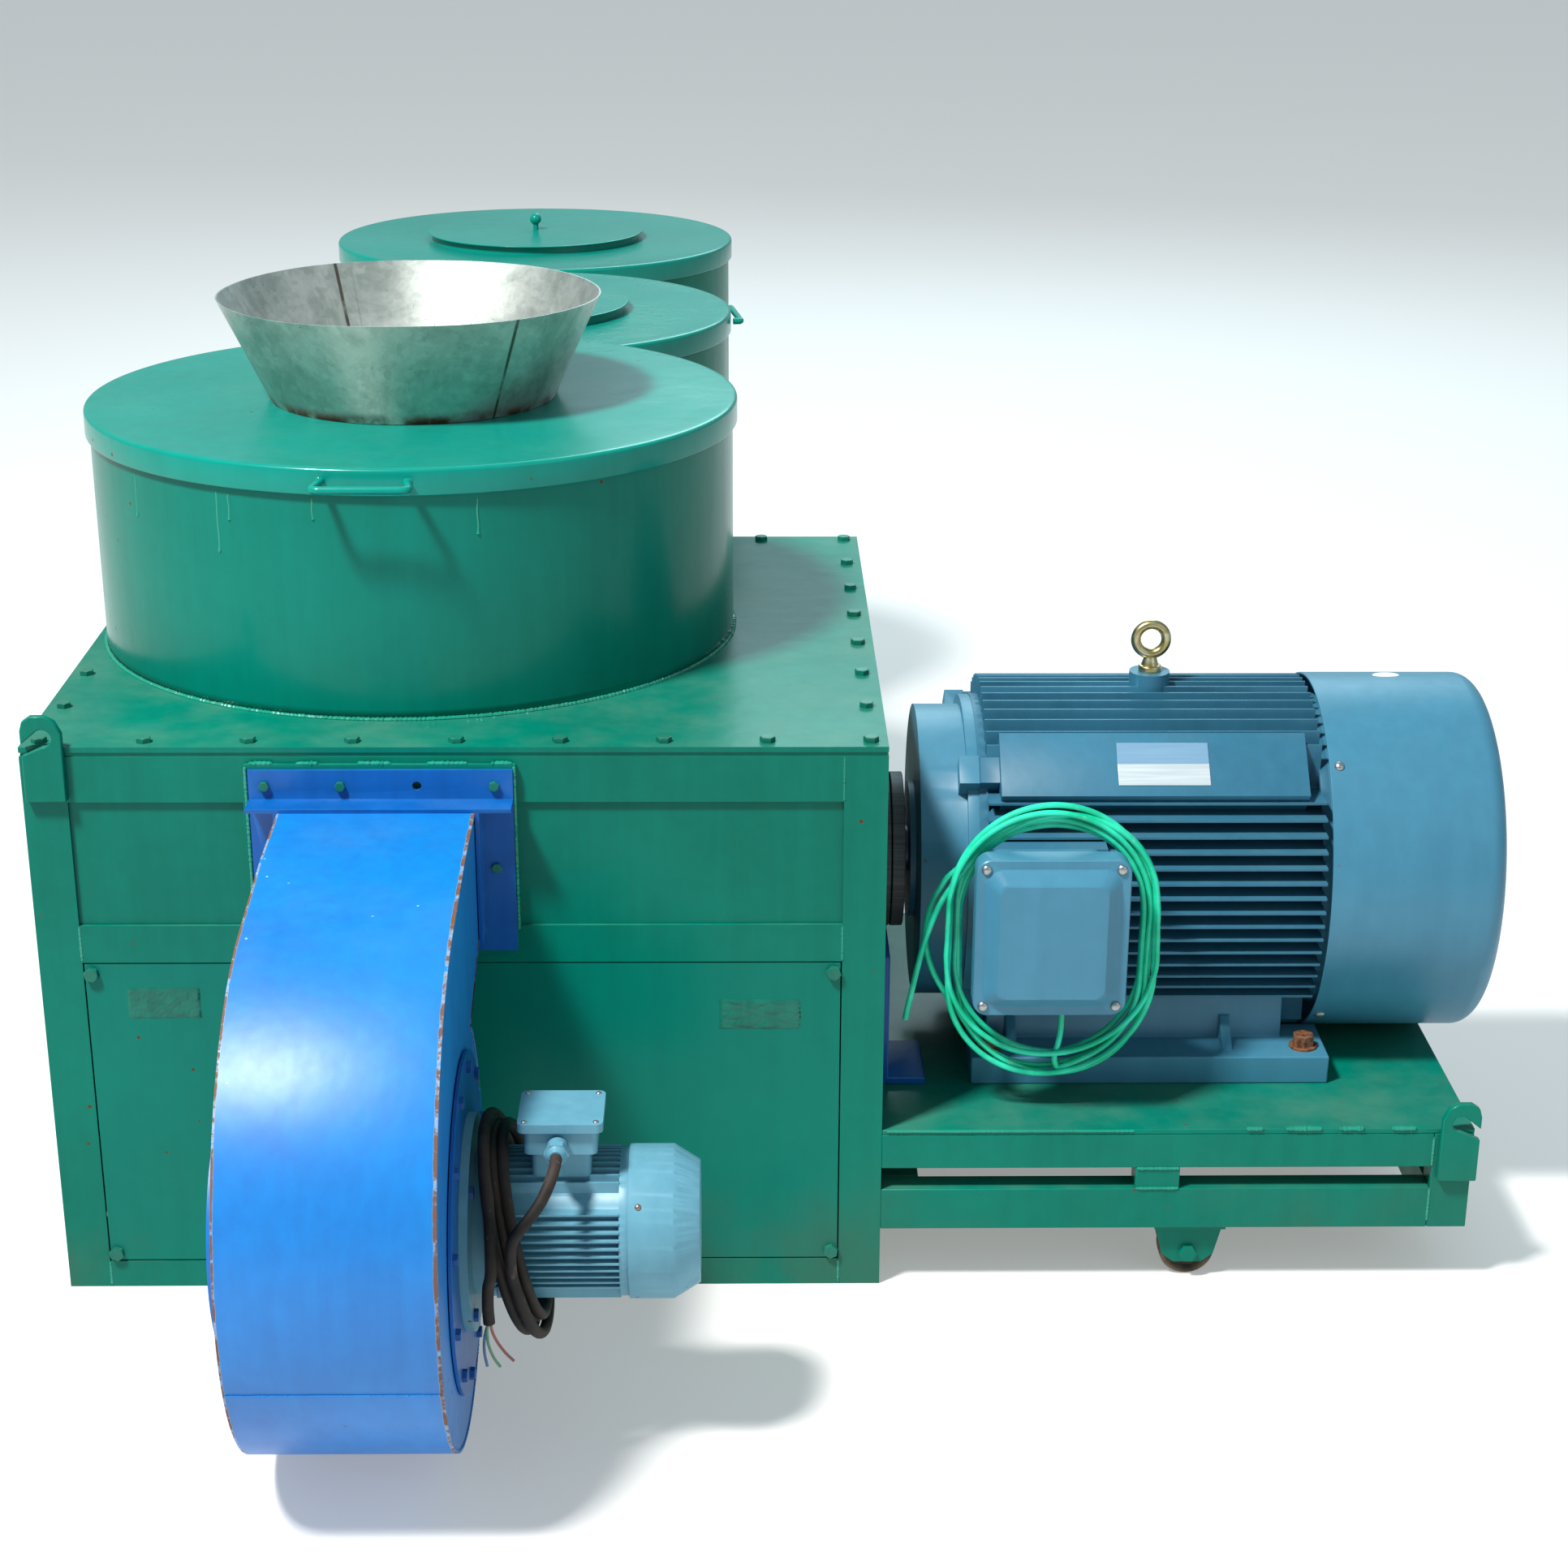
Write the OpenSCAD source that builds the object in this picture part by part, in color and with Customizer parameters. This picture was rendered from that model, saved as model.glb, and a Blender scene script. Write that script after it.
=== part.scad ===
// Hammer mill with a blower, a drive motor on a side bed and three lidded drums in a row.
// Units are millimetres. +Z is up, +X runs from the mill to the drive motor and -Y is the blower side.
// The origin is the centre of the mill housing's footprint, on the floor.

/* [Housing] */
// Width of the mill housing, along X
housing_w = 1250; // [1248:1:1252]
// Depth of the mill housing, along Y
housing_d = 1180; // [1178:1:1182]
// Height of the housing, to the top plate's upper face
housing_h = 880; // [878:1:882]
// Leg width of the corner angles
post_w = 64; // [60:1:66]
// Thickness of the angle iron
angle_t = 6; // [5:0.5:7]
// Thickness of the top plate
plate_t = 8; // [6:0.5:9]
// Thickness of the sheet panels
sheet_t = 4; // [3:0.5:4]

/* [Drums] */
// Outer radius of the feed drum's shell
drum_r = 508; // [500:1:509]
// Top of the feed drum's lid
lid_top = 1259; // [1250:1:1265]
// Outer radius of the two settling drums' shells
rear_r = 423; // [418:1:424]
// Top of the settling drums' lids
rear_lid_top = 1221; // [1215:1:1225]
// Height of the lids' skirts
skirt_h = 36; // [30:1:40]

/* [Feed hopper] */
// Radius of the cone's foot
cone_foot_r = 226; // [225:0.5:228]
// Radius of the cone's rim
cone_rim_r = 302; // [290:1:310]
// Height of the cone above the lid
cone_h = 163; // [150:1:170]

/* [Mill rotor] */
// Radius of the rotor shaft in its bearings
shaft_r = 35; // [34:0.5:35]
// Radius of the circle that the hammer pins stand on
pin_circle_r = 150; // [148:1:150]
// Distance from a hammer's pin to its tip
hammer_len = 100; // [90:1:100]
// Radius of the rotor discs
disc_r = 180; // [175:1:182]

/* [Drive motor] */
// Height of the motor's axis above the floor
axis_z = 556; // [555:1:557]
// Radius over the cooling fins
fin_r = 284; // [280:1:285]
// Radius of the fan cover
fan_cover_r = 286; // [285:1:288]

/* [Blower] */
// Radius of the scroll where it begins
scroll_r0 = 280; // [276:1:282]
// Radius of the scroll where it meets the top of the duct
scroll_r1 = 433; // [428:1:436]
// Radius of the blower motor over its fins
blower_motor_r = 106; // [104:1:107]

/* [Hidden] */
$fn = 96;

// Colours
green = [0.02, 0.45, 0.36];
blue = [0.05, 0.35, 0.80];
motor_blue = [0.30, 0.50, 0.60];
steel = [0.62, 0.63, 0.64];
dark = [0.12, 0.13, 0.14];

// Housing limits
hx = housing_w / 2;
hy = housing_d / 2;
inner_x = hx - angle_t;
inner_y = hy - angle_t;
flange_z = housing_h - plate_t;
rail_top = [796, flange_z - angle_t];
rail_mid = [544, 603];
rail_low = [0, 44];
weld_gap = 0.2;

// Bolts along the top plate's edges: count, distance from the edge, and pitches.
// The left edge has none where the feed drum stands over it.
edge_in = 25;
bolts_x = 9;
bolts_y = 8;
pitch_x = (housing_w - 2 * edge_in) / (bolts_x - 1);
pitch_y = (housing_d - 2 * edge_in) / (bolts_y - 1);
m12_r = 6;
m12_hole = 6.5;
top_bolts = concat(
    [for (i = [0:bolts_x - 1], s = [-1, 1]) [-hx + edge_in + i * pitch_x, s * (hy - edge_in)]],
    [for (i = [1:bolts_y - 2], s = [-1, 1])
        if (s > 0 || abs(-hy + edge_in + i * pitch_y) > 100) [s * (hx - edge_in), -hy + edge_in + i * pitch_y]]
);

// Service door and its four bolts
door_x = 559;
door_z = [46, 542];
door_bolt_x = 549;
door_bolt_z = [58, 526];

// Drums: centres and levels
feed_x = -108;
feed_y = 40;
rear_x = -35;
middle_y = 993;
last_y = 1861;
shell_t = 5;
lid_t = 4;
rear_floor_z = 900;
lid_hole_r = 222;
cover_r = 235;
feed_hole = 400;
feed_hole_y = -155;

// Mill rotor: its axis is the drive motor's axis too
axis_y = -155;
chamber_x = [-410, 194];
rotor_mid_x = -108;
disc_pitch = 90;
disc_count = 7;
disc_t = 10;
core_r = 42;
pin_r = 10;
pin_angles = [90, 210, 330];
hammer_w = 46;
hammer_t = 10;
screen_r = 262;
bearing_x = [-510, 530];
bearing_base_z = 480;
run_fit = 0.05;

// Drive motor stations along X
shield_x = 681;
body_x = [779, 1322];
cover_end_x = 1590;
eye_up = 302;
core_motor_r = 232;
frame_bore = 206;
motor_shaft_r = 37.5;
coupling_r = 125;

// Terminal box on the motor's blower side
box_x = 874;
box_z = 570;
box_w = 230;
box_h = 250;

// Bed beside the housing
bed_x = [625, 1530];
bed_y = [-590, 280];
bed_top = 264;
bed_rail_up = [199, 256];
bed_rail_low = [95, 163];
castor_x = 1105;
castor_y = [-545, 235];
wheel_r = 43;

// Blower: the impeller's axis, the casing's faces and the duct
fan_y = -990;
fan_z = 329;
casing_x = [-251, 31];
duct_z = [600, 800];
mount_face_y = -598;
casing_t = 4;
inlet_r = 150;
blower_shaft_r = 14;
tongue_t = -50;
scroll_end_t = 270;
duct_knee = [-804, 790];
flange_leg_y = -648;
flange_x = [-297, 83];
flange_z2 = [569, 850];
outlet_bolts = [[-274, 826], [-165, 826], [56, 826], [-274, 700], [56, 700], [-120, 584], [0, 584]];
spare_hole = [-55, 826];

// Free cable of the blower motor: gland, coil round the motor, lead and tail
cable_r = 8;
gland = [165, -1053, 474];
coil_mid = [104, -990, 329];
coil_tilt = 12;
coil_r = [115, 168];
coil_w = 44;
lead_path = [[165, -1085, 474], [164, -1104, 470], [158, -1122, 456], [148, -1136, 438],
             [134, -1145, 419], [118, -1151, 400], [108, -1152, 381], [102, -1146, 362]];
tail_path = [[86, -1148, 374], [81, -1163, 352], [77, -1170, 327], [76, -1173, 301], [77, -1173, 276]];
wire_r = 2;
tail_wires = [
    [[75, -1174, 276], [74, -1176, 262], [76, -1178, 244], [82, -1178, 226], [90, -1177, 212]],
    [[79, -1174, 276], [81, -1173, 262], [87, -1172, 246], [97, -1172, 230], [108, -1173, 218]],
    [[77, -1171, 276], [72, -1169, 262], [69, -1168, 244], [69, -1168, 226], [72, -1169, 208]]
];

// Loose wire hung round the neck of the drive motor's terminal box
wire_rad = 4.5;
hank_mid = [881, 547];
hank_out = [161, 223];
hank_in = [127, 174];
hank_in_z = 537;
hank_y = [-529, -492];
green_lead = [[900, -515, 430], [900, -515, 410], [899, -515, 390], [896, -515, 372], [892, -515, 356]];
loose_loop = [[731, -508, 655], [712, -506, 630], [697, -505, 597], [690, -504, 560],
              [692, -504, 525], [703, -505, 490], [722, -506, 455], [742, -508, 425]];
free_end = [[724, -514, 628], [708, -522, 604], [695, -528, 574], [685, -531, 542], [677, -531, 507],
            [670, -530, 472], [664, -528, 442], [661, -526, 421]];

// ---------------------------------------------------------------- helpers

// Box between two corners
module block(a, b) {
    translate(a) cube(b - a);
}

// Cylinder along X from x0 to x1, about the line through [y, z]
module rod_x(x0, x1, y, z, r) {
    translate([x0, y, z]) rotate([0, 90, 0]) cylinder(r = r, h = x1 - x0);
}

// Cylinder along Y from y0 to y1, about the line through [x, z]
module rod_y(y0, y1, x, z, r) {
    translate([x, y1, z]) rotate([90, 0, 0]) cylinder(r = r, h = y1 - y0);
}

// Cylinder along Z from z0 to z1, about the line through [x, y]
module rod_z(z0, z1, x, y, r) {
    translate([x, y, z0]) cylinder(r = r, h = z1 - z0);
}

// Flat shape in the YZ plane, carried along X
module along_x(x0, x1) {
    translate([x0, 0, 0]) rotate([90, 0, 90]) linear_extrude(x1 - x0) children();
}

// Flat shape in the XZ plane, carried along Y
module along_y(y0, y1) {
    translate([0, y1, 0]) rotate([90, 0, 0]) linear_extrude(y1 - y0) children();
}

// Rectangle about the origin with round corners
module round_rect(w, h, r) {
    square([w - 2 * r, h], center = true);
    square([w, h - 2 * r], center = true);
    for (sx = [-1, 1], sy = [-1, 1])
        translate([sx * (w / 2 - r), sy * (h / 2 - r)]) circle(r);
}

// Rectangle between two corners in the plane
module rect2(a, b) {
    translate(a) square(b - a);
}

// Hexagon bolt along Z: the head sits on z = 0 and the shank goes down
module hex_bolt(r, head_r, head_h, shank) {
    cylinder(r = head_r, h = head_h, $fn = 6);
    translate([0, 0, -shank]) cylinder(r = r, h = shank, $fn = 24);
}

// Cross-sections of a tube swept along a route
function unit(v) = v / norm(v);
function tangent(p, i) = unit(p[min(i + 1, len(p) - 1)] - p[max(i - 1, 0)]);
function ring_side(t, up) = unit(cross(t, up));
function ring(p, i, r, n, up) =
    let (t = tangent(p, i), u = ring_side(t, up), v = cross(t, u))
    [for (k = [0:n - 1]) p[i] + r * (cos(360 * k / n) * u + sin(360 * k / n) * v)];

// Tube of radius r along the points of route p; up is never parallel to the route
module tube(p, r, up, n = 8) {
    points = [for (i = [0:len(p) - 1]) each ring(p, i, r, n, up)];
    last = (len(p) - 1) * n;
    faces = concat(
        [[for (k = [0:n - 1]) k]],
        [[for (k = [0:n - 1]) last + n - 1 - k]],
        [for (i = [0:len(p) - 2], k = [0:n - 1])
            [i * n + k, (i + 1) * n + k, (i + 1) * n + (k + 1) % n, i * n + (k + 1) % n]]
    );
    polyhedron(points, faces);
}

// Racetrack outline: half-width w and half-height h
module racetrack(w, h) {
    for (s = [-1, 1]) translate([0, s * (h - w)]) circle(w);
    square([2 * w, 2 * (h - w)], center = true);
}

// ---------------------------------------------------------------- mill housing

// Angle-iron corner post with its outer corner at [sx, sy]
module post(sx, sy) {
    translate([sx * hx, sy * hy, 0]) mirror([sx > 0 ? 1 : 0, 0, 0]) mirror([0, sy > 0 ? 1 : 0, 0])
        difference() {
            cube([post_w, post_w, rail_top[1] - weld_gap]);
            translate([angle_t, angle_t, -1]) cube([post_w, post_w, housing_h]);
        }
}

// Corner posts, rails, top flange strips, door jambs and the two bars behind the blower plate
module housing_frame() color(green) {
    px = hx - post_w - weld_gap;
    py = hy - post_w - weld_gap;
    jamb = 30;
    for (sx = [-1, 1], sy = [-1, 1]) post(sx, sy);
    for (z = [rail_top, rail_mid, rail_low]) {
        block([-px, -hy, z[0]], [px, -inner_y, z[1] - weld_gap]);
        block([-px, inner_y, z[0]], [px, hy, z[1] - weld_gap]);
        block([-hx, -py, z[0]], [-inner_x, py, z[1] - weld_gap]);
    }
    for (z = [rail_top, rail_low]) block([inner_x, -py, z[0]], [hx, py, z[1] - weld_gap]);
    block([inner_x, -py, rail_mid[0]], [hx, axis_y - 75, rail_mid[1]]);
    block([inner_x, axis_y + 75, rail_mid[0]], [hx, py, rail_mid[1]]);
    for (x = [casing_x[0] - 57, casing_x[1] + 4])
        block([x, -hy, rail_mid[1]], [x + 53, -inner_y, rail_top[0] - weld_gap]);
    difference() {
        union() {
            for (s = [-1, 1]) {
                y = s * (hy - 2 - post_w / 2);
                block([-hx + 2, y - post_w / 2, flange_z - angle_t], [hx - 2, y + post_w / 2, flange_z]);
                x = s * (hx - 2 - post_w / 2);
                block([x - post_w / 2, -hy + post_w + 2.5, flange_z - angle_t],
                      [x + post_w / 2, hy - post_w - 2.5, flange_z]);
            }
        }
        for (b = top_bolts) rod_z(flange_z - 20, housing_h, b[0], b[1], m12_hole);
    }
    difference() {
        union() {
            for (s = [-1, 1]) {
                x = s * (door_x - jamb / 2);
                block([x - jamb / 2, -inner_y, door_z[0]], [x + jamb / 2, -inner_y + sheet_t, door_z[1]]);
            }
        }
        door_bolt_holes();
    }
}

// Through holes for the service door's bolts
module door_bolt_holes() {
    for (sx = [-1, 1], z = door_bolt_z) rod_y(-hy - 10, -inner_y + 20, sx * door_bolt_x, z, m12_hole);
}

// Sheet panels: two at the front above the door, both sides, the back and the floor
module housing_sheets() color(green) {
    y1 = -inner_y + sheet_t;
    x1 = inner_x - sheet_t;
    block([-x1, -inner_y, 560], [casing_x[0] - 8, y1, 860]);
    block([casing_x[1] + 8, -inner_y, 560], [x1, y1, 860]);
    block([-inner_x, -inner_y + 6, 10], [-x1, inner_y - 6, 860]);
    difference() {
        block([x1, -inner_y + 6, 10], [inner_x, inner_y - 6, 860]);
        rod_x(x1 - 5, inner_x + 5, axis_y, axis_z, 60);
    }
    block([-x1 + 1, inner_y - sheet_t, 10], [x1 - 1, inner_y, 860]);
    block([-x1 + 1, y1 + 1, 0], [x1 - 1, inner_y - sheet_t - 1, sheet_t]);
}

// Bolted door over the discharge chamber
module service_door() color(green) {
    difference() {
        block([-door_x, -hy + 1, door_z[0]], [door_x, -inner_y, door_z[1]]);
        door_bolt_holes();
    }
}

// Two strips of tape painted over on the service door
module tape_patches() color(green) {
    block([-500, -hy - 0.5, 453], [-391, -hy + 1, 504]);
    block([378, -hy - 0.5, 433], [500, -hy + 1, 483]);
}

// Top plate with its bolt holes and the feed opening under the drum
module top_plate() color(green) {
    half = feed_hole / 2;
    difference() {
        block([-hx, -hy, flange_z], [hx, hy, housing_h]);
        for (b = top_bolts) rod_z(flange_z - 5, housing_h + 5, b[0], b[1], m12_hole);
        block([feed_x - half, feed_hole_y - half, flange_z - 5], [feed_x + half, feed_hole_y + half, 900]);
    }
}

// Hexagon bolts of one size: top plate, service door and blower outlet
module housing_bolts() color(green) {
    for (b = top_bolts) translate([b[0], b[1], housing_h]) hex_bolt(m12_r, 11.5, 8, 24);
    for (sx = [-1, 1], z = door_bolt_z)
        translate([sx * door_bolt_x, -hy + 1, z]) rotate([90, 0, 0]) hex_bolt(m12_r, 11.5, 8, 18);
    for (b = outlet_bolts)
        translate([b[0], mount_face_y - angle_t, b[1]]) rotate([90, 0, 0]) hex_bolt(m12_r, 11.5, 8, 13);
}

// Holes of the blower outlet's bolts, the unused one included
module outlet_holes(y0, y1) {
    for (b = concat(outlet_bolts, [spare_hole])) rod_y(y0, y1, b[0], b[1], m12_hole);
}

// Plate welded to the housing that the blower's outlet bolts to
module blower_mount_plate() color(green) {
    difference() {
        block([-303, mount_face_y, 561], [87, -hy, 856]);
        block([casing_x[0], mount_face_y - 5, duct_z[0]], [casing_x[1], -hy + 5, duct_z[1]]);
        outlet_holes(mount_face_y - 5, -hy + 5);
    }
}

// Lifting hook outline: its foot's outer lower corner is the origin, the notch opens to -X
module hook_outline() {
    difference() {
        polygon([[0, 0], [59, 0], [59, 104], [50, 122], [36, 130], [16, 130], [4, 122], [0, 108]]);
        translate([31, 97]) circle(13);
        polygon([[31, 84], [31, 110], [22, 106], [-5, 84], [-5, 68], [4, 72]]);
    }
}

// Four flame-cut lifting hooks, two on the housing and two on the bed's far end
module lifting_hooks() color(green) {
    hook_t = 12;
    for (y = [-hy - hook_t, hy])
        translate([-618, 0, 800]) along_y(y, y + hook_t) hook_outline();
    for (y = [bed_y[0] - hook_t, bed_y[1]])
        translate([1536, 0, 180]) mirror([1, 0, 0]) along_y(y, y + hook_t) hook_outline();
}

// ---------------------------------------------------------------- mill interior

// End plates, front and back walls, and the air duct from the blower's outlet
module mill_chamber() color(steel) {
    wall = 6;
    y0 = axis_y - screen_r - 13;
    y1 = axis_y + screen_r + 13;
    for (x = [chamber_x[0] - 10, chamber_x[1]])
        difference() {
            block([x, y0, 290], [x + 10, y1, 864]);
            rod_x(x - 5, x + 15, axis_y, axis_z, core_r + 2);
        }
    block([chamber_x[0], y1 - wall, axis_z], [chamber_x[1], y1, 864]);
    difference() {
        block([chamber_x[0], y0, axis_z], [chamber_x[1], y0 + wall, 864]);
        block([casing_x[0] + 4, y0 - 5, duct_z[0] + 4], [casing_x[1] - 4, y0 + wall + 5, duct_z[1] - 4]);
    }
    difference() {
        block([casing_x[0], -inner_y, duct_z[0]], [casing_x[1], y0, duct_z[1]]);
        block([casing_x[0] + 4, -hy - 5, duct_z[0] + 4], [casing_x[1] - 4, y0 + 5, duct_z[1] - 4]);
    }
}

// Half-round perforated screen under the rotor
module screen() color(steel) {
    cx = (chamber_x[0] + chamber_x[1]) / 2;
    half = (chamber_x[1] - chamber_x[0]) / 2 - 1;
    difference() {
        rod_x(cx - half, cx + half, axis_y, axis_z, screen_r + 4);
        rod_x(cx - half - 5, cx + half + 5, axis_y, axis_z, screen_r);
        block([cx - half - 5, axis_y - 300, axis_z - 2], [cx + half + 5, axis_y + 300, axis_z + 300]);
        for (i = [-4:4], a = [-60:30:60])
            translate([cx + i * 60, axis_y, axis_z]) rotate([a, 0, 0])
                translate([0, 0, -screen_r - 20]) cylinder(r = 12, h = 60, $fn = 24);
    }
}

// Cross bearers and the two pedestals that carry the rotor's bearings
module bearing_frame() color(green) {
    for (y = [axis_y - 265, axis_y + 215])
        block([-inner_x + sheet_t, y, 230], [inner_x - sheet_t, y + 50, 290]);
    for (x = bearing_x)
        difference() {
            block([x - 35, axis_y - 110, 200], [x + 35, axis_y + 110, bearing_base_z]);
            block([x - 29, axis_y - 104, 190], [x + 29, axis_y + 104, bearing_base_z - 10]);
        }
    for (x = bearing_x)
        for (s = [-1, 1])
            block([x - 35, axis_y + s * 162.5 - 52.3, 236], [x + 35, axis_y + s * 162.5 + 52.3, 286]);
}

// Pillow-block bearings
module bearing_blocks() color(dark) {
    for (x = bearing_x)
        difference() {
            union() {
                rod_x(x - 28, x + 28, axis_y, axis_z, 66);
                block([x - 28, axis_y - 105, bearing_base_z], [x + 28, axis_y + 105, bearing_base_z + 24]);
                block([x - 28, axis_y - 60, bearing_base_z + 24], [x + 28, axis_y + 60, axis_z]);
            }
            rod_x(x - 40, x + 40, axis_y, axis_z, shaft_r + run_fit);
        }
}

// Rotor shaft, thicker between the end plates
module rotor_shaft() color(steel) {
    union() {
        rod_x(-560, 650, axis_y, axis_z, shaft_r);
        rod_x(-445, 229, axis_y, axis_z, core_r);
    }
}

// Station of rotor disc i along X
function disc_x(i) = rotor_mid_x + (i - (disc_count - 1) / 2) * disc_pitch;

// Position of hammer pin k in the YZ plane
function pin_pos(k) = [axis_y + pin_circle_r * cos(pin_angles[k]), axis_z + pin_circle_r * sin(pin_angles[k])];

// Discs that carry the hammer pins
module rotor_discs() color(steel) {
    for (i = [0:disc_count - 1])
        difference() {
            rod_x(disc_x(i) - disc_t / 2, disc_x(i) + disc_t / 2, axis_y, axis_z, disc_r);
            rod_x(disc_x(i) - 10, disc_x(i) + 10, axis_y, axis_z, core_r);
            for (k = [0:2]) rod_x(disc_x(i) - 10, disc_x(i) + 10, pin_pos(k)[0], pin_pos(k)[1], pin_r);
        }
}

// Pins that the hammers swing on
module hammer_pins() color(steel) {
    for (k = [0:2])
        rod_x(disc_x(0) - 20, disc_x(disc_count - 1) + 20, pin_pos(k)[0], pin_pos(k)[1], pin_r);
}

// One row of swinging hammers hanging from pin k
module hammer_row(k) {
    y = pin_pos(k)[0];
    z = pin_pos(k)[1];
    for (i = [0:disc_count - 2]) {
        x = disc_x(i) + disc_pitch / 2 + (k - 1) * 20;
        difference() {
            union() {
                rod_x(x - hammer_t / 2, x + hammer_t / 2, y, z, hammer_w / 2);
                block([x - hammer_t / 2, y - hammer_w / 2, z - hammer_len],
                      [x + hammer_t / 2, y + hammer_w / 2, z]);
            }
            rod_x(x - 10, x + 10, y, z, pin_r + run_fit);
        }
    }
}
module hammers_a() color(steel) hammer_row(0);
module hammers_b() color(steel) hammer_row(1);
module hammers_c() color(steel) hammer_row(2);

// Flange coupling between the rotor and the motor: two halves and six pins
module coupling() color(dark) {
    pins_r = 95;
    difference() {
        union() {
            rod_x(629, 650, axis_y, axis_z, coupling_r);
            rod_x(652, 672, axis_y, axis_z, coupling_r);
        }
        rod_x(620, 651, axis_y, axis_z, shaft_r);
        rod_x(651, 680, axis_y, axis_z, motor_shaft_r);
        for (a = [0:60:300])
            rod_x(620, 680, axis_y + pins_r * cos(a), axis_z + pins_r * sin(a), 8);
    }
    for (a = [0:60:300])
        rod_x(628, 675, axis_y + pins_r * cos(a), axis_z + pins_r * sin(a), 7.9);
}

// ---------------------------------------------------------------- drive motor

// Motor shaft with its rotor core, and the cooling fan on its far end
module motor_rotor() color(steel) {
    union() {
        rod_x(652, 1470, axis_y, axis_z, motor_shaft_r);
        rod_x(880, 1240, axis_y, axis_z, 148);
    }
    difference() {
        union() {
            rod_x(1400, 1460, axis_y, axis_z, 60);
            for (a = [0:45:315])
                translate([1405, axis_y, axis_z]) rotate([a, 0, 0]) translate([0, -3, 55]) cube([50, 6, 150]);
        }
        rod_x(1390, 1480, axis_y, axis_z, motor_shaft_r);
    }
}

// Cooling fins on one side of the barrel; they stand out along the local +Y
module fin_bank() {
    pitch = 23;
    for (i = [-7:7]) {
        w = i * pitch;
        root = sqrt(core_motor_r * core_motor_r - w * w) - 5;
        tip = sqrt(fin_r * fin_r - (abs(w) + 2) * (abs(w) + 2));
        translate([0, root, w - 2]) cube([body_x[1] - body_x[0] - 24, tip - root, 4]);
    }
}

// Finned barrel with the nameplate pad, box pad and eye-bolt boss
module motor_frame() color(motor_blue) {
    difference() {
        union() {
            rod_x(body_x[0], body_x[1], axis_y, axis_z, core_motor_r);
            for (x = [body_x[0], body_x[1] - 14]) rod_x(x, x + 14, axis_y, axis_z, 252);
            difference() {
                union() {
                    for (a = [0:90:270])
                        translate([body_x[0] + 12, axis_y, axis_z]) rotate([a, 0, 0]) fin_bank();
                    for (a = [47.5, 132.5, 227.5, 312.5])
                        translate([body_x[0], axis_y, axis_z]) rotate([a, 0, 0]) translate([0, 225, -22])
                            cube([60, 45, 44]);
                }
                for (s = [-1, 1])
                    block([799, axis_y + s * 175 - 25.5, bed_top], [1271, axis_y + s * 175 + 25.5, 440.5]);
            }
            translate([810, axis_y, axis_z]) rotate([-47.5, 0, 0])
                translate([0, -288, -55]) cube([473, 70, 110]);
            rod_z(axis_z + 200, axis_z + eye_up, 1061, axis_y, 32);
            block([box_x - 95, axis_y - 290, box_z - 95], [box_x + 95, axis_y - 150, box_z + 95]);
        }
        rod_x(body_x[0] - 5, body_x[1] + 5, axis_y, axis_z, frame_bore);
        rod_z(axis_z + 240, axis_z + eye_up + 5, 1061, axis_y, 8);
    }
}

// Laminated stator ring inside the barrel
module motor_stator() color(dark) {
    difference() {
        rod_x(890, 1230, axis_y, axis_z, frame_bore - 0.3);
        rod_x(880, 1240, axis_y, axis_z, 150);
    }
}

// Cast end shields with the motor's bearings' bores
module end_shields() color(motor_blue) {
    difference() {
        union() {
            rod_x(690, 762, axis_y, axis_z, 235);
            rod_x(762, body_x[0], axis_y, axis_z, 250);
            rod_x(shield_x, 690, axis_y, axis_z, 110);
            for (a = [47.5, 132.5, 227.5, 312.5])
                translate([748, axis_y, axis_z]) rotate([a, 0, 0]) translate([0, 222, -24])
                    cube([31, 50, 48]);
        }
        rod_x(715, body_x[0] + 1, axis_y, axis_z, 190);
        rod_x(shield_x - 5, 720, axis_y, axis_z, motor_shaft_r + run_fit);
    }
    difference() {
        union() {
            rod_x(body_x[1], body_x[1] + 14, axis_y, axis_z, 252);
            rod_x(body_x[1] + 14, body_x[1] + 26, axis_y, axis_z, 110);
        }
        rod_x(body_x[1] - 5, body_x[1] + 40, axis_y, axis_z, motor_shaft_r + run_fit);
    }
}

// Foot pads, riser webs up to the barrel and gusset ribs
module motor_feet() color(motor_blue) {
    for (s = [-1, 1]) {
        y_in = axis_y + s * 150;
        y_out = axis_y + s * 275;
        block([772, min(y_in, y_out), bed_top], [1335, max(y_in, y_out), bed_top + 46]);
        difference() {
            block([800, axis_y + (s > 0 ? 150 : -200), bed_top + 46], [1270, axis_y + (s > 0 ? 200 : -150), 440]);
            rod_x(790, 1280, axis_y, axis_z, core_motor_r + 0.5);
        }
        for (x = [830, 1170])
            along_x(x, x + 16)
                polygon([[axis_y + s * 198, bed_top + 46], [axis_y + s * 255, bed_top + 46],
                         [axis_y + s * 205, 350], [axis_y + s * 198, 350]]);
    }
}

// Four hexagon bolts through the motor's feet
module foot_bolts() color([0.35, 0.22, 0.15]) {
    for (s = [-1, 1], x = [800, 1300])
        translate([x, axis_y + s * 236, bed_top + 46]) {
            cylinder(r = 22, h = 4);
            translate([0, 0, 4]) cylinder(r = 17.3, h = 13, $fn = 6);
        }
}

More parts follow.
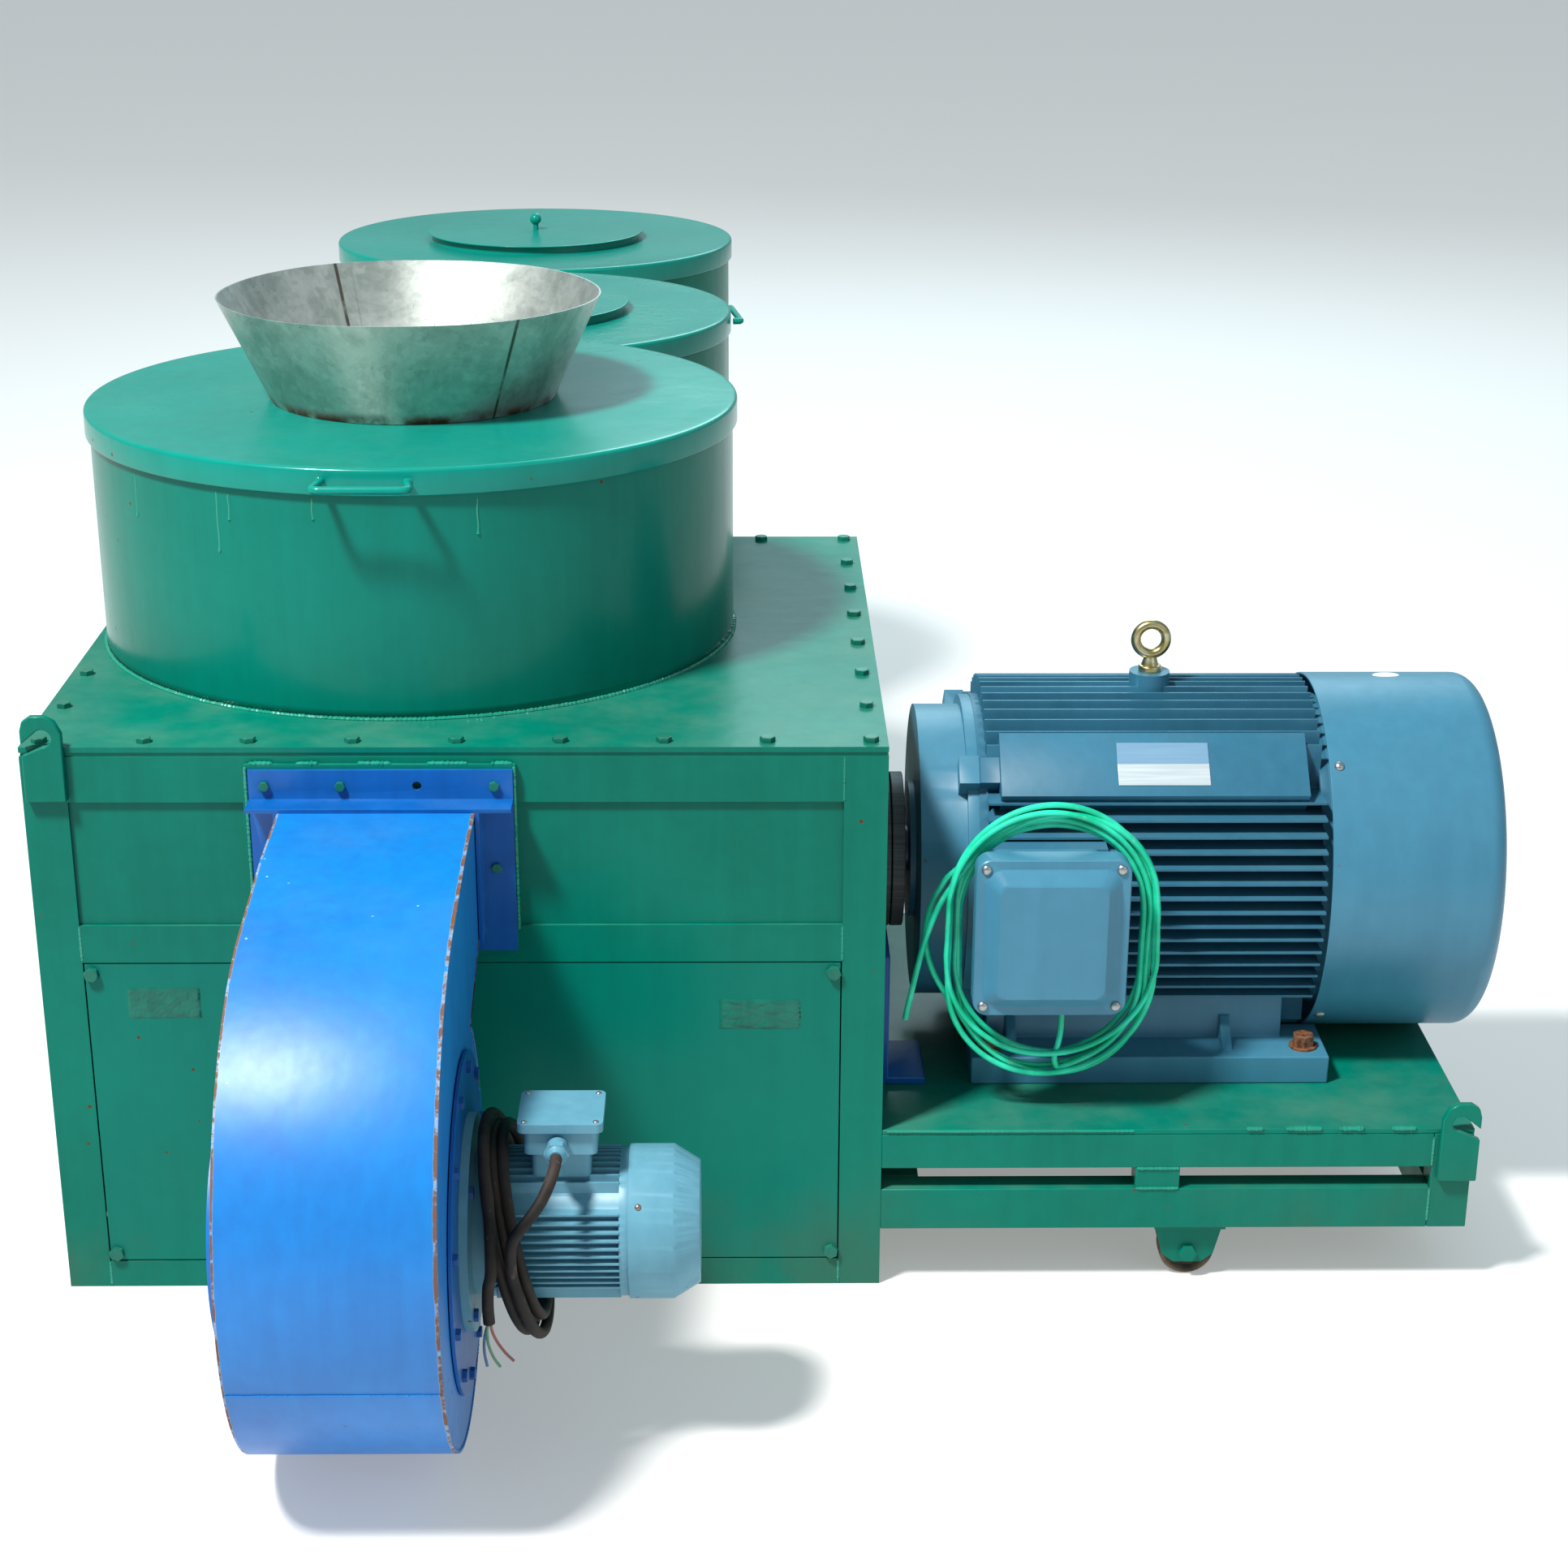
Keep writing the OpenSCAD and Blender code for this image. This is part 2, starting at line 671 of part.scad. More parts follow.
// Fan cover: a drum with a rounded far edge and slots for the air
module fan_cover() color(motor_blue) {
    edge_r = 30;
    t = 3;
    translate([body_x[1] - 5, axis_y, axis_z]) rotate([0, 90, 0]) {
        len_x = cover_end_x - body_x[1] + 5;
        difference() {
            rotate_extrude() union() {
                translate([fan_cover_r - t, 0]) square([t, len_x - edge_r]);
                translate([20, len_x - t]) square([fan_cover_r - edge_r - 20, t]);
                translate([fan_cover_r - edge_r, len_x - edge_r]) difference() {
                    intersection() {
                        circle(edge_r);
                        square(edge_r);
                    }
                    circle(edge_r - t);
                }
                translate([0, len_x - t]) square([20, t]);
            }
            for (a = [0:15:345], r = [70, 160])
                rotate([0, 0, a]) translate([r, -4, len_x - 10]) cube([75, 8, 20]);
        }
    }
}

// Dome-headed screws round the fan cover, and on the terminal box's cover
module motor_screws() color(steel) {
    for (a = [47, 133, 227, 313])
        translate([body_x[1] + 10, axis_y, axis_z]) rotate([a, 0, 0]) translate([0, fan_cover_r + 0.02, 0])
            rotate([-90, 0, 0]) cylinder(r1 = 8, r2 = 5, h = 5.5);
    for (sx = [-1, 1], sz = [-1, 1])
        translate([box_x + sx * 100, -568, box_z + sz * 110]) rotate([90, 0, 0])
            cylinder(r1 = 8, r2 = 6, h = 5);
}

// Terminal box: neck, tray and the wire's outlet under it
module terminal_box() color(motor_blue) {
    neck_y = axis_y - 290;
    difference() {
        union() {
            along_y(-530, neck_y) translate([box_x, box_z]) round_rect(174, 192, 18);
            along_y(-560, -530) translate([box_x, box_z]) round_rect(box_w, box_h, 22);
        }
        along_y(-565, neck_y - 6) translate([box_x, box_z]) round_rect(160, 178, 12);
    }
    rod_z(430, 448, 900, -515, 14);
    block([880, -529, 447.9], [920, -500, 480]);
}

// Cover of the terminal box, raised in the middle
module terminal_box_cover() color(motor_blue) {
    along_y(-568, -560) translate([box_x, box_z]) round_rect(box_w, box_h, 22);
    along_y(-588, -568) translate([box_x, box_z]) round_rect(182, 202, 24);
}

// Eye bolt in the motor's boss
module eye_bolt() color([0.70, 0.60, 0.30]) {
    translate([1061, axis_y, axis_z + eye_up]) {
        cylinder(r = 18, h = 10);
        translate([0, 0, -28]) cylinder(r = 8, h = 28);
        translate([0, 0, 52]) rotate([90, 0, 0]) rotate_extrude() translate([24, 0]) circle(8, $fn = 32);
        translate([0, 0, 9]) cylinder(r1 = 14, r2 = 9, h = 15);
    }
}

// Blank nameplate on its pad
module nameplate() color([0.80, 0.82, 0.84]) {
    translate([990, axis_y, axis_z]) rotate([-47.5, 0, 0]) translate([0, -289.5, -37]) cube([141, 1.5, 74]);
}

// ---------------------------------------------------------------- bed and castors

// Channel outline with its web at y = 0, flanges towards +Y, between z0 and z1
module channel(z0, z1) {
    difference() {
        rect2([0, z0], [45, z1]);
        rect2([6, z0 + 6], [50, z1 - 6]);
    }
}

// Channels, posts and cross-members of the bed
module bed_frame() color(green) {
    for (z = [bed_rail_up, bed_rail_low]) {
        translate([0, bed_y[0], 0]) along_x(bed_x[0], 1469) channel(z[0], z[1]);
        translate([0, bed_y[1], 0]) mirror([0, 1, 0]) along_x(bed_x[0], 1469) channel(z[0], z[1]);
    }
    for (y = [bed_y[0], bed_y[1] - 45]) {
        block([1015, y, bed_rail_low[1] + weld_gap], [1083, y + 45, bed_rail_up[0] - weld_gap]);
        block([1469 + weld_gap, y, bed_rail_low[0]], [1530, y + 45, bed_rail_up[1]]);
    }
    for (x = [bed_x[0], 1015, 1469 + weld_gap])
        block([x, bed_y[0] + 45 + weld_gap, bed_rail_up[0]], [x + 60, bed_y[1] - 45 - weld_gap, bed_rail_up[1]]);
    for (x = [bed_x[0], 1469 + weld_gap])
        block([x, bed_y[0] + 45 + weld_gap, bed_rail_low[0]],
              [x + 60, bed_y[1] - 45 - weld_gap, bed_rail_low[1]]);
    for (y = [bed_y[0] + 45 + weld_gap, bed_y[1] - 145])
        block([castor_x - 60, y, bed_rail_low[0]], [castor_x + 60, y + 99, bed_rail_low[0] + 8]);
}

// Plate that the drive motor stands on
module bed_plate() color(green) {
    block([bed_x[0], bed_y[0], bed_top - 8], [bed_x[1], bed_y[1], bed_top]);
}

// Two fixed castor forks with their axle bolts
module castor_forks() color(green) {
    for (y = castor_y) {
        for (s = [-1, 1])
            difference() {
                along_y(y + s * 24 - 3, y + s * 24 + 3)
                    polygon([[castor_x - 52, 89], [castor_x + 52, 89], [castor_x + 40, 40],
                             [castor_x + 22, 26], [castor_x - 22, 26], [castor_x - 40, 40]]);
                rod_y(y - 40, y + 40, castor_x, wheel_r, 8);
            }
        block([castor_x - 55, y - 40, 89], [castor_x + 55, y + 40, 95]);
        rod_y(y - 28, y + 28, castor_x, wheel_r, 8);
        translate([castor_x, y - 27, wheel_r]) rotate([90, 0, 0]) cylinder(r = 14, h = 9, $fn = 6);
    }
}

// Wheel of one castor, turning on the axle bolt
module castor_wheel(y) {
    difference() {
        union() {
            rod_y(y - 18, y + 18, castor_x, wheel_r, wheel_r);
            rod_y(y - 20.5, y + 20.5, castor_x, wheel_r, 18);
        }
        rod_y(y - 30, y + 30, castor_x, wheel_r, 8 + run_fit);
    }
}
module castor_wheel_front() color(dark) castor_wheel(castor_y[0]);
module castor_wheel_rear() color(dark) castor_wheel(castor_y[1]);

// Bracket that ties the bed to the housing beside the coupling
module bed_bracket() color(blue) {
    block([inner_x, -430, bed_top], [642, -290, 482]);
    block([642, -430, bed_top], [700, -290, bed_top + 12]);
}

// ---------------------------------------------------------------- blower

// Radius of the scroll at angle t, measured from the back through the bottom and the front
function scroll_r(t) = scroll_r0 + (scroll_r1 - scroll_r0) * pow(max(t, 0) / scroll_end_t, 2);

// Outline of the scroll and its duct, moved inwards by i, with its mouth at y_end
function scroll_points(i, y_end) = concat(
    [for (t = [tongue_t:10:scroll_end_t])
        [fan_y + (scroll_r(t) - i) * cos(t), fan_z - (scroll_r(t) - i) * sin(t)]],
    [[duct_knee[0], duct_knee[1] - i], [-650, duct_z[1] - i], [y_end, duct_z[1] - i],
     [y_end, duct_z[0] + i], [-650, duct_z[0] + i]]
);

// Welded scroll: a wrapper, two side plates and the inlet collar
module blower_casing() color(blue) {
    x0 = casing_x[0];
    x1 = casing_x[1];
    difference() {
        along_x(x0, x1) polygon(scroll_points(0, mount_face_y));
        along_x(x0 + casing_t, x1 - casing_t) polygon(scroll_points(casing_t, mount_face_y + 2));
        rod_x(x0 - 5, x0 + 10, fan_y, fan_z, inlet_r);
        rod_x(x1 - 10, x1 + 5, fan_y, fan_z, 195);
    }
    difference() {
        union() {
            rod_x(x0 - 40, x0, fan_y, fan_z, inlet_r + 4);
            rod_x(x0 - 40, x0 - 35, fan_y, fan_z, inlet_r + 30);
        }
        rod_x(x0 - 45, x0 + 5, fan_y, fan_z, inlet_r);
    }
}

// Angles of the blower cover's bolts
cover_bolt_r = 215;
cover_bolt_step = 30;

// Round cover over the side opening that the blower motor bolts to
module blower_side_cover() color(blue) {
    x = casing_x[1];
    difference() {
        rod_x(x, x + 5, fan_y, fan_z, 236);
        rod_x(x - 5, x + 10, fan_y, fan_z, 60);
        for (a = [15:cover_bolt_step:345])
            rod_x(x - 5, x + 10, fan_y + cover_bolt_r * cos(a), fan_z + cover_bolt_r * sin(a), 5.5);
    }
}

// Bolts of the blower's side cover and of its motor's flange
module blower_cover_bolts() color(blue) {
    x = casing_x[1] + 5;
    for (a = [15:cover_bolt_step:345])
        translate([x, fan_y + cover_bolt_r * cos(a), fan_z + cover_bolt_r * sin(a)])
            rotate([0, 90, 0]) hex_bolt(5, 9, 6.5, 5);
    for (a = [45:90:315])
        translate([x + 12, fan_y + 132 * cos(a), fan_z + 132 * sin(a)])
            rotate([0, 90, 0]) hex_bolt(5, 9, 6.5, 5);
}

// Angle-iron frame round the duct's mouth
module outlet_flange() color(blue) {
    y0 = mount_face_y - angle_t;
    difference() {
        union() {
            block([flange_x[0], y0, duct_z[1]], [flange_x[1], mount_face_y, flange_z2[1]]);
            block([flange_x[0], flange_leg_y, duct_z[1]], [flange_x[1], y0, duct_z[1] + angle_t]);
            block([flange_x[0], y0, flange_z2[0]], [casing_x[0], mount_face_y, duct_z[1]]);
            block([casing_x[0] - angle_t, flange_leg_y, duct_z[0]], [casing_x[0], y0, duct_z[1]]);
            block([casing_x[1], y0, flange_z2[0]], [flange_x[1], mount_face_y, duct_z[1]]);
            block([casing_x[1], flange_leg_y, duct_z[0]], [casing_x[1] + angle_t, y0, duct_z[1]]);
            block([casing_x[0], y0, flange_z2[0]], [casing_x[1], mount_face_y, duct_z[0]]);
        }
        outlet_holes(y0 - 5, mount_face_y + 5);
    }
}

// Radial impeller on its motor's shaft
module impeller() color(steel) {
    rod_x(-160, 250, fan_y, fan_z, blower_shaft_r);
    difference() {
        union() {
            rod_x(-30, -24, fan_y, fan_z, 240);
            rod_x(-90, -24, fan_y, fan_z, 40);
            for (a = [0:36:324])
                translate([-215, fan_y, fan_z]) rotate([a, 0, 0]) translate([0, -2.5, 95]) cube([190, 5, 140]);
            difference() {
                rod_x(-220, -215, fan_y, fan_z, 240);
                rod_x(-225, -210, fan_y, fan_z, 145);
            }
        }
        rod_x(-200, 10, fan_y, fan_z, blower_shaft_r);
    }
}

// Blower motor: flange and finned barrel
module blower_motor() color(motor_blue) {
    core = 92;
    difference() {
        union() {
            rod_x(36, 48, fan_y, fan_z, 150);
            rod_x(48, 66, fan_y, fan_z, 100);
            rod_x(66, 258, fan_y, fan_z, core);
            for (x = [66, 246]) rod_x(x, x + 12, fan_y, fan_z, 102);
            for (q = [0:90:270], i = [-5:5])
                translate([76, fan_y, fan_z]) rotate([q, 0, 0]) translate([0, 0, i * 11 - 1.5])
                    translate([0, sqrt(core * core - i * i * 121) - 3, 0])
                        cube([170, sqrt(104 * 104 - i * i * 121) - sqrt(core * core - i * i * 121) + 3, 3]);
        }
        rod_x(30, 262, fan_y, fan_z, blower_shaft_r + run_fit);
        for (a = [45:90:315])
            rod_x(30, 50, fan_y + 132 * cos(a), fan_z + 132 * sin(a), 5.5);
    }
}

// Fan cover of the blower motor
module blower_fan_cover() color(motor_blue) {
    len_x = 97;
    taper = [22, 36];
    t = 2;
    r = blower_motor_r;
    translate([258, fan_y, fan_z]) rotate([0, 90, 0]) difference() {
        rotate_extrude()
            polygon([[r - t, 0], [r, 0], [r, len_x - taper[1]], [r - taper[0], len_x], [0, len_x],
                     [0, len_x - t], [r - taper[0] - 1, len_x - t], [r - t, len_x - taper[1] - 0.5]]);
        for (a = [0:30:330]) rotate([0, 0, a]) translate([28, -3, len_x - 8]) cube([46, 6, 20]);
    }
}

// Terminal box of the blower motor: neck, tray, lid and the cable gland
module blower_terminal_box() color(motor_blue) {
    cx = 168.5;
    cy = -1000;
    neck_z = fan_z + 80;
    difference() {
        translate([cx, cy, neck_z]) linear_extrude(460 - neck_z) round_rect(80, 76, 8);
        rod_x(0, 300, fan_y, fan_z, 104.5);
    }
    translate([cx, cy, 460]) linear_extrude(34) round_rect(98, 94, 8);
    translate([cx, cy, 494.2]) linear_extrude(12.8) round_rect(115, 106, 10);
    rod_y(gland[1] - 12, cy - 47, gland[0], gland[2], 14);
    translate([gland[0], gland[1] - 12, gland[2]]) rotate([90, 0, 0]) cylinder(r = 17, h = 12, $fn = 6);
    translate([gland[0], gland[1] - 24, gland[2]]) rotate([90, 0, 0]) cylinder(r1 = 14, r2 = 9.5, h = 8);
}

// ---------------------------------------------------------------- drums, lids and hopper

// Window for the passage between two drums, through their shells
module link_window(y0, y1) {
    block([rear_x - 96, y0, 984], [rear_x + 96, y1, 1126]);
}

// Feed drum welded to the top plate
module front_drum() color(green) {
    translate([feed_x, feed_y, 0]) difference() {
        rod_z(housing_h, lid_top - lid_t, 0, 0, drum_r);
        rod_z(housing_h - 5, lid_top, 0, 0, drum_r - shell_t);
        translate([-feed_x, -feed_y, 0]) link_window(450, 580);
    }
}

// Lid with a skirt and a round opening: outer radius r, top face at z
module skirted_lid(r, z) {
    difference() {
        rod_z(z - lid_t - skirt_h, z, 0, 0, r);
        rod_z(z - lid_t - skirt_h - 5, z - lid_t, 0, 0, r - 4);
        rod_z(z - 10, z + 5, 0, 0, lid_hole_r);
    }
}
module front_lid() color(green) translate([feed_x, feed_y, 0]) skirted_lid(drum_r + 7, lid_top);

// Feed cone with a spigot that stands in the lid's opening
module feed_hopper() color(steel) {
    t = 2.5;
    spigot = lid_hole_r - 0.5;
    translate([feed_x, feed_y, lid_top]) rotate_extrude()
        polygon([[spigot - t, -16], [spigot, -16], [spigot, 0], [cone_foot_r, 0],
                 [cone_rim_r, cone_h], [cone_rim_r - t, cone_h], [spigot - t, 2]]);
}

// U-shaped handle of round bar; its legs start on the lid's skirt and run along -Y
module bar_handle(leg) {
    half = 70;
    r = 6;
    for (s = [-1, 1]) {
        rod_y(-leg, 0, s * half, 0, r);
        translate([s * half, -leg, 0]) sphere(r);
    }
    translate([-half, -leg, 0]) rotate([0, 90, 0]) cylinder(r = r, h = 2 * half);
}
module front_handle() color(green)
    difference() {
        translate([-127, feed_y - drum_r + 12, 1240]) bar_handle(68);
        rod_z(1200, 1250, feed_x, feed_y, drum_r + 7);
    }

// Settling drums, each with a floor, and the passages that link all three drums
module rear_drums() color(green) {
    for (y = [middle_y, last_y])
        difference() {
            rod_z(rear_floor_z, rear_lid_top - lid_t, rear_x, y, rear_r);
            rod_z(rear_floor_z + 5, rear_lid_top, rear_x, y, rear_r - shell_t);
            link_window(y - rear_r - 20, y - rear_r + 60);
            if (y == middle_y) link_window(y + rear_r - 60, y + rear_r + 20);
        }
    for (link = [[feed_y + drum_r, middle_y - rear_r], [middle_y + rear_r, last_y - rear_r]])
        difference() {
            block([rear_x - 100, link[0] - 20, 980], [rear_x + 100, link[1] + 20, 1130]);
            link_window(link[0] - 60, link[1] + 60);
            if (link[0] < middle_y) rod_z(900, 1200, feed_x, feed_y, drum_r + 0.2);
            for (y = [middle_y, last_y]) rod_z(900, 1200, rear_x, y, rear_r + 0.2);
        }
}

// Lid of a settling drum with the collar under its inspection cover
module rear_lid_at(y) {
    translate([rear_x, y, 0]) {
        skirted_lid(rear_r + 7, rear_lid_top);
        difference() {
            rod_z(rear_lid_top, rear_lid_top + 14, 0, 0, lid_hole_r + 3);
            rod_z(rear_lid_top - 5, rear_lid_top + 20, 0, 0, lid_hole_r);
        }
    }
}
module middle_lid() color(green) {
    rear_lid_at(middle_y);
    difference() {
        translate([rear_x, middle_y, 1200]) rotate([0, 0, 98]) translate([0, -rear_r + 5, 0]) bar_handle(26);
        rod_z(1180, 1220, rear_x, middle_y, rear_r + 7);
    }
}
module rear_lid() color(green) rear_lid_at(last_y);

// Inspection cover with a locating rim and a ball knob
module cover_at(y) {
    z = rear_lid_top + 14;
    translate([rear_x, y, z]) {
        cylinder(r = cover_r, h = 3);
        difference() {
            translate([0, 0, -10]) cylinder(r = lid_hole_r - 1, h = 10);
            translate([0, 0, -11]) cylinder(r = lid_hole_r - 4, h = 11);
        }
        translate([0, 0, 3]) cylinder(r = 6, h = 16);
        translate([0, 0, 26]) sphere(12.5);
    }
}
module middle_cover() color(green) cover_at(middle_y);
module rear_cover() color(green) cover_at(last_y);

// Open stand that carries the settling drums behind the housing
module rear_stand() color(green) {
    x0 = rear_x - 350;
    x1 = rear_x + 350;
    y1 = 2240;
    leg = 60;
    leg_y = [600, 1391, y1 - leg];
    block([x0, 602, rear_floor_z - 10], [x1, y1, rear_floor_z]);
    for (x = [x0, x1 - leg]) {
        block([x, hy, 830], [x + leg, y1, rear_floor_z - 10 - weld_gap]);
        for (y = leg_y) {
            block([x, y, 8], [x + leg, y + leg, 830 - weld_gap]);
            block([x - 10, y - 9, 0], [x + leg + 10, y + leg + 10, 8 - weld_gap]);
        }
        for (i = [0, 1])
            block([x + 5, leg_y[i] + leg + weld_gap, 120], [x + leg - 5, leg_y[i + 1] - weld_gap, 170]);
    }
    for (y = leg_y) {
        block([x0 + leg + weld_gap, y, 830], [x1 - leg - weld_gap, y + leg, rear_floor_z - 10 - weld_gap]);
        block([x0 + leg + weld_gap, y + 5, 120], [x1 - leg - weld_gap, y + leg - 5, 170]);
    }
}

// ---------------------------------------------------------------- cables

// Hank of wire hung round the terminal box's neck, as one solid of its outer shape
module green_wire_coil() color([0.1, 0.8, 0.5]) {
    along_y(hank_y[0], hank_y[1]) difference() {
        translate([hank_mid[0], hank_mid[1]]) racetrack(hank_out[0], hank_out[1]);
        translate([hank_mid[0], hank_in_z]) racetrack(hank_in[0], hank_in[1]);
    }
}

// Stretches of the wire outside its hank: from the outlet, one wide turn and the free end
module green_wire_ends() color([0.1, 0.8, 0.5]) {
    tube(green_lead, wire_rad, [0, 1, 0]);
    tube(loose_loop, wire_rad, [0, 1, 0]);
    tube(free_end, wire_rad, [0, 1, 0]);
}

// Turns of the cable round the blower motor, as one solid of their outer shape
module black_cable_coil() color(dark) {
    translate(coil_mid) rotate([0, 90 - coil_tilt, 0]) difference() {
        translate([0, 0, -coil_w / 2]) cylinder(r = coil_r[1], h = coil_w);
        translate([0, 0, -coil_w]) cylinder(r = coil_r[0], h = 2 * coil_w);
    }
}
module black_cable_lead() color(dark) tube(lead_path, cable_r, [1, 0, 0]);

// Free end of the cable with its three bared wires
module black_cable_tail() color(dark) {
    tube(tail_path, cable_r, [1, 0, 0]);
    for (w = tail_wires) tube(w, wire_r, [0, 1, 0]);
}

housing_frame();
housing_sheets();
service_door();
tape_patches();
top_plate();
housing_bolts();
blower_mount_plate();
lifting_hooks();
mill_chamber();
screen();
bearing_frame();
bearing_blocks();
rotor_shaft();
rotor_discs();
hammer_pins();
hammers_a();
hammers_b();
hammers_c();
coupling();
motor_rotor();
motor_frame();
motor_stator();
end_shields();
motor_feet();
foot_bolts();
fan_cover();
motor_screws();
terminal_box();
terminal_box_cover();
eye_bolt();
nameplate();
bed_frame();
bed_plate();
castor_forks();
castor_wheel_front();
castor_wheel_rear();
bed_bracket();
blower_casing();
blower_side_cover();
blower_cover_bolts();
outlet_flange();
impeller();
blower_motor();
blower_fan_cover();
blower_terminal_box();
front_drum();
front_lid();
feed_hopper();
front_handle();
rear_drums();
middle_lid();
rear_lid();
middle_cover();
rear_cover();
rear_stand();
green_wire_coil();
green_wire_ends();
black_cable_coil();
black_cable_lead();
black_cable_tail();
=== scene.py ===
# %% [markdown]
# # A hammer mill, its blower, its drive motor and three drums
#
# The machine is a welded steel box on the floor. Grain falls through a galvanised hopper into the
# feed drum, a rotor of swinging hammers breaks it, and a blue blower pushes air through. A finned
# electric motor on a wheeled bed beside the box turns the rotor.
#
# The design model already gives every part its place and size. This notebook gives the parts their
# looks: rolled sheet, welds, castings, cables and paint that has been outdoors for a while. All
# lengths are in metres in the design model's own frame: X along the shaft, Y away from the blower,
# Z up, with the origin on the floor under the middle of the box.

# %% Frame
import math

import bmesh
import bpy
import numpy as np
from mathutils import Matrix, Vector


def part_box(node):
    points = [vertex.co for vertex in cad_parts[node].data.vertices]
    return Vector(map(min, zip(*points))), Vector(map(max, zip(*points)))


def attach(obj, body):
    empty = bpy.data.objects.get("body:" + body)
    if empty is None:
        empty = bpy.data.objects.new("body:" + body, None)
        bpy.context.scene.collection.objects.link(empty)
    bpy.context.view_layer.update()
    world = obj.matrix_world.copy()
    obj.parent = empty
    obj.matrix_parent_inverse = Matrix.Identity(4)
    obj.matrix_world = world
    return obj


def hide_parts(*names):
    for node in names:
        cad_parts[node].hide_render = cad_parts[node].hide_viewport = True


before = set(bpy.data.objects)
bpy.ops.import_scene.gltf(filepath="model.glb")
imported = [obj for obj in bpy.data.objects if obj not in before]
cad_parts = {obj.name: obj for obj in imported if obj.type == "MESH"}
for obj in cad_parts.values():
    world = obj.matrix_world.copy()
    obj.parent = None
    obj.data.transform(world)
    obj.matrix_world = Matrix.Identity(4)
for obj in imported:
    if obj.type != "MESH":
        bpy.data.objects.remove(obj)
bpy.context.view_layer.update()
MM = 0.001
TURN = 2 * math.pi
rng = np.random.default_rng(9)


def box(node):
    """Lowest and highest corner of a design node, as two arrays."""
    return [np.array(corner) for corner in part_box(node)]


# %% [markdown]
# ## The camera
#
# The machine is seen from a raised place in front of it, a little to the right of the box's middle.
# A camera could be aimed with a constraint, but fixed angles are easier to repeat. The lens is a
# short telephoto, and a small upward shift of the lens puts the machine in the middle of the view
# without making its upright edges lean.

# %% Camera
CAMERA_AT = (0.4068, -4.4406, 2.2068)
CAMERA_TURN = (68.6937, -0.2568, -0.9022)
FOCAL_MM, SENSOR_MM = 64.93, 36
SHIFT_UP = 0.0487
FAR_END = 60

camera = bpy.data.objects.new("camera", bpy.data.cameras.new("camera"))
bpy.context.collection.objects.link(camera)
camera.data.lens = FOCAL_MM
camera.data.sensor_width = SENSOR_MM
camera.data.shift_y = SHIFT_UP
camera.data.clip_end = FAR_END
camera.location = CAMERA_AT
camera.rotation_euler = [math.radians(turn) for turn in CAMERA_TURN]
bpy.context.scene.camera = camera
print("camera at", CAMERA_AT, "lens", FOCAL_MM, "mm")

# %% [markdown]
# ## Light
#
# Plain studio light: one lamp high on the left in front, which gives the drums their long highlights
# and soft shadows to the right, a weaker one on the right, and one behind that shows in the tops of
# the lids the way a bright sky does. Point lamps would burn small spots into the gloss paint, so the
# lamps are panels.

# %% Lamps
def lamp(name, place, aim, size, power, colour):
    """A square panel lamp of a size in metres that looks from its place at a point."""
    data = bpy.data.lights.new(name, "AREA")
    data.shape = "SQUARE"
    data.size, data.energy, data.color = size, power, colour
    made = bpy.data.objects.new(name, data)
    made.location = place
    towards = (np.array(aim) - np.array(place)).tolist()
    made.rotation_euler = Vector(towards).to_track_quat("-Z", "Y").to_euler()
    bpy.context.collection.objects.link(made)
    return made


lamp("key_lamp", (-3.0, -3.4, 8.0), (0, 0.2, 0.7), 1.1, 1300, (1, 0.985, 0.96))
lamp("fill_lamp", (5.5, -5.0, 3.6), (0.6, 0, 0.6), 4.0, 45, (0.93, 0.97, 1))
lamp("rear_lamp", (1.5, 7.0, 5.5), (0, 1.0, 0.8), 4.0, 260, (0.66, 0.92, 1))

# %% [markdown]
# ## Sky and floor
#
# A pale blue-white sky fills the shadows from all round. The floor is one large pale plane, which
# glows a little so that it stays near white however the lamps fall on it.

# %% Sky and floor
SKY_COLOUR, SKY_STRENGTH = (0.68, 0.90, 1, 1), 0.42
FLOOR_HALF, FLOOR_Z = 30, -0.0005

world = bpy.data.worlds.new("pale_sky")
bpy.context.scene.world = world
world.use_nodes = True
world.node_tree.nodes["Background"].inputs["Color"].default_value = SKY_COLOUR
world.node_tree.nodes["Background"].inputs["Strength"].default_value = SKY_STRENGTH
bpy.context.scene.view_settings.view_transform = "Standard"

floor_mesh = bpy.data.meshes.new("floor")
corners = np.array([(-1, -1), (1, -1), (1, 1), (-1, 1)]) * FLOOR_HALF
floor_mesh.from_pydata([(x, y, FLOOR_Z) for x, y in corners.tolist()], [], [(0, 1, 2, 3)])
floor = bpy.data.objects.new("floor", floor_mesh)
bpy.context.collection.objects.link(floor)
floor_look = bpy.data.materials.new("pale_floor")
floor_look.use_nodes = True
floor_shader = floor_look.node_tree.nodes["Principled BSDF"].inputs
floor_shader["Base Color"].default_value = (0.60, 0.59, 0.58, 1)
floor_shader["Roughness"].default_value = 0.9
floor_shader["Emission Color"].default_value = (1, 0.98, 0.96, 1)
floor_shader["Emission Strength"].default_value = 0.30
floor_mesh.materials.append(floor_look)
print("floor", 2 * FLOOR_HALF, "m square, sky strength", SKY_STRENGTH)

# %% [markdown]
# ## Shader maths as plain expressions
#
# A procedural material is arithmetic on noise: a mask times a wear amount, one minus a stain, and so
# on. Wiring that by hand takes many lines, so one small class holds a socket and lets Python's own
# operators add the Math nodes. `make` adds any other node.

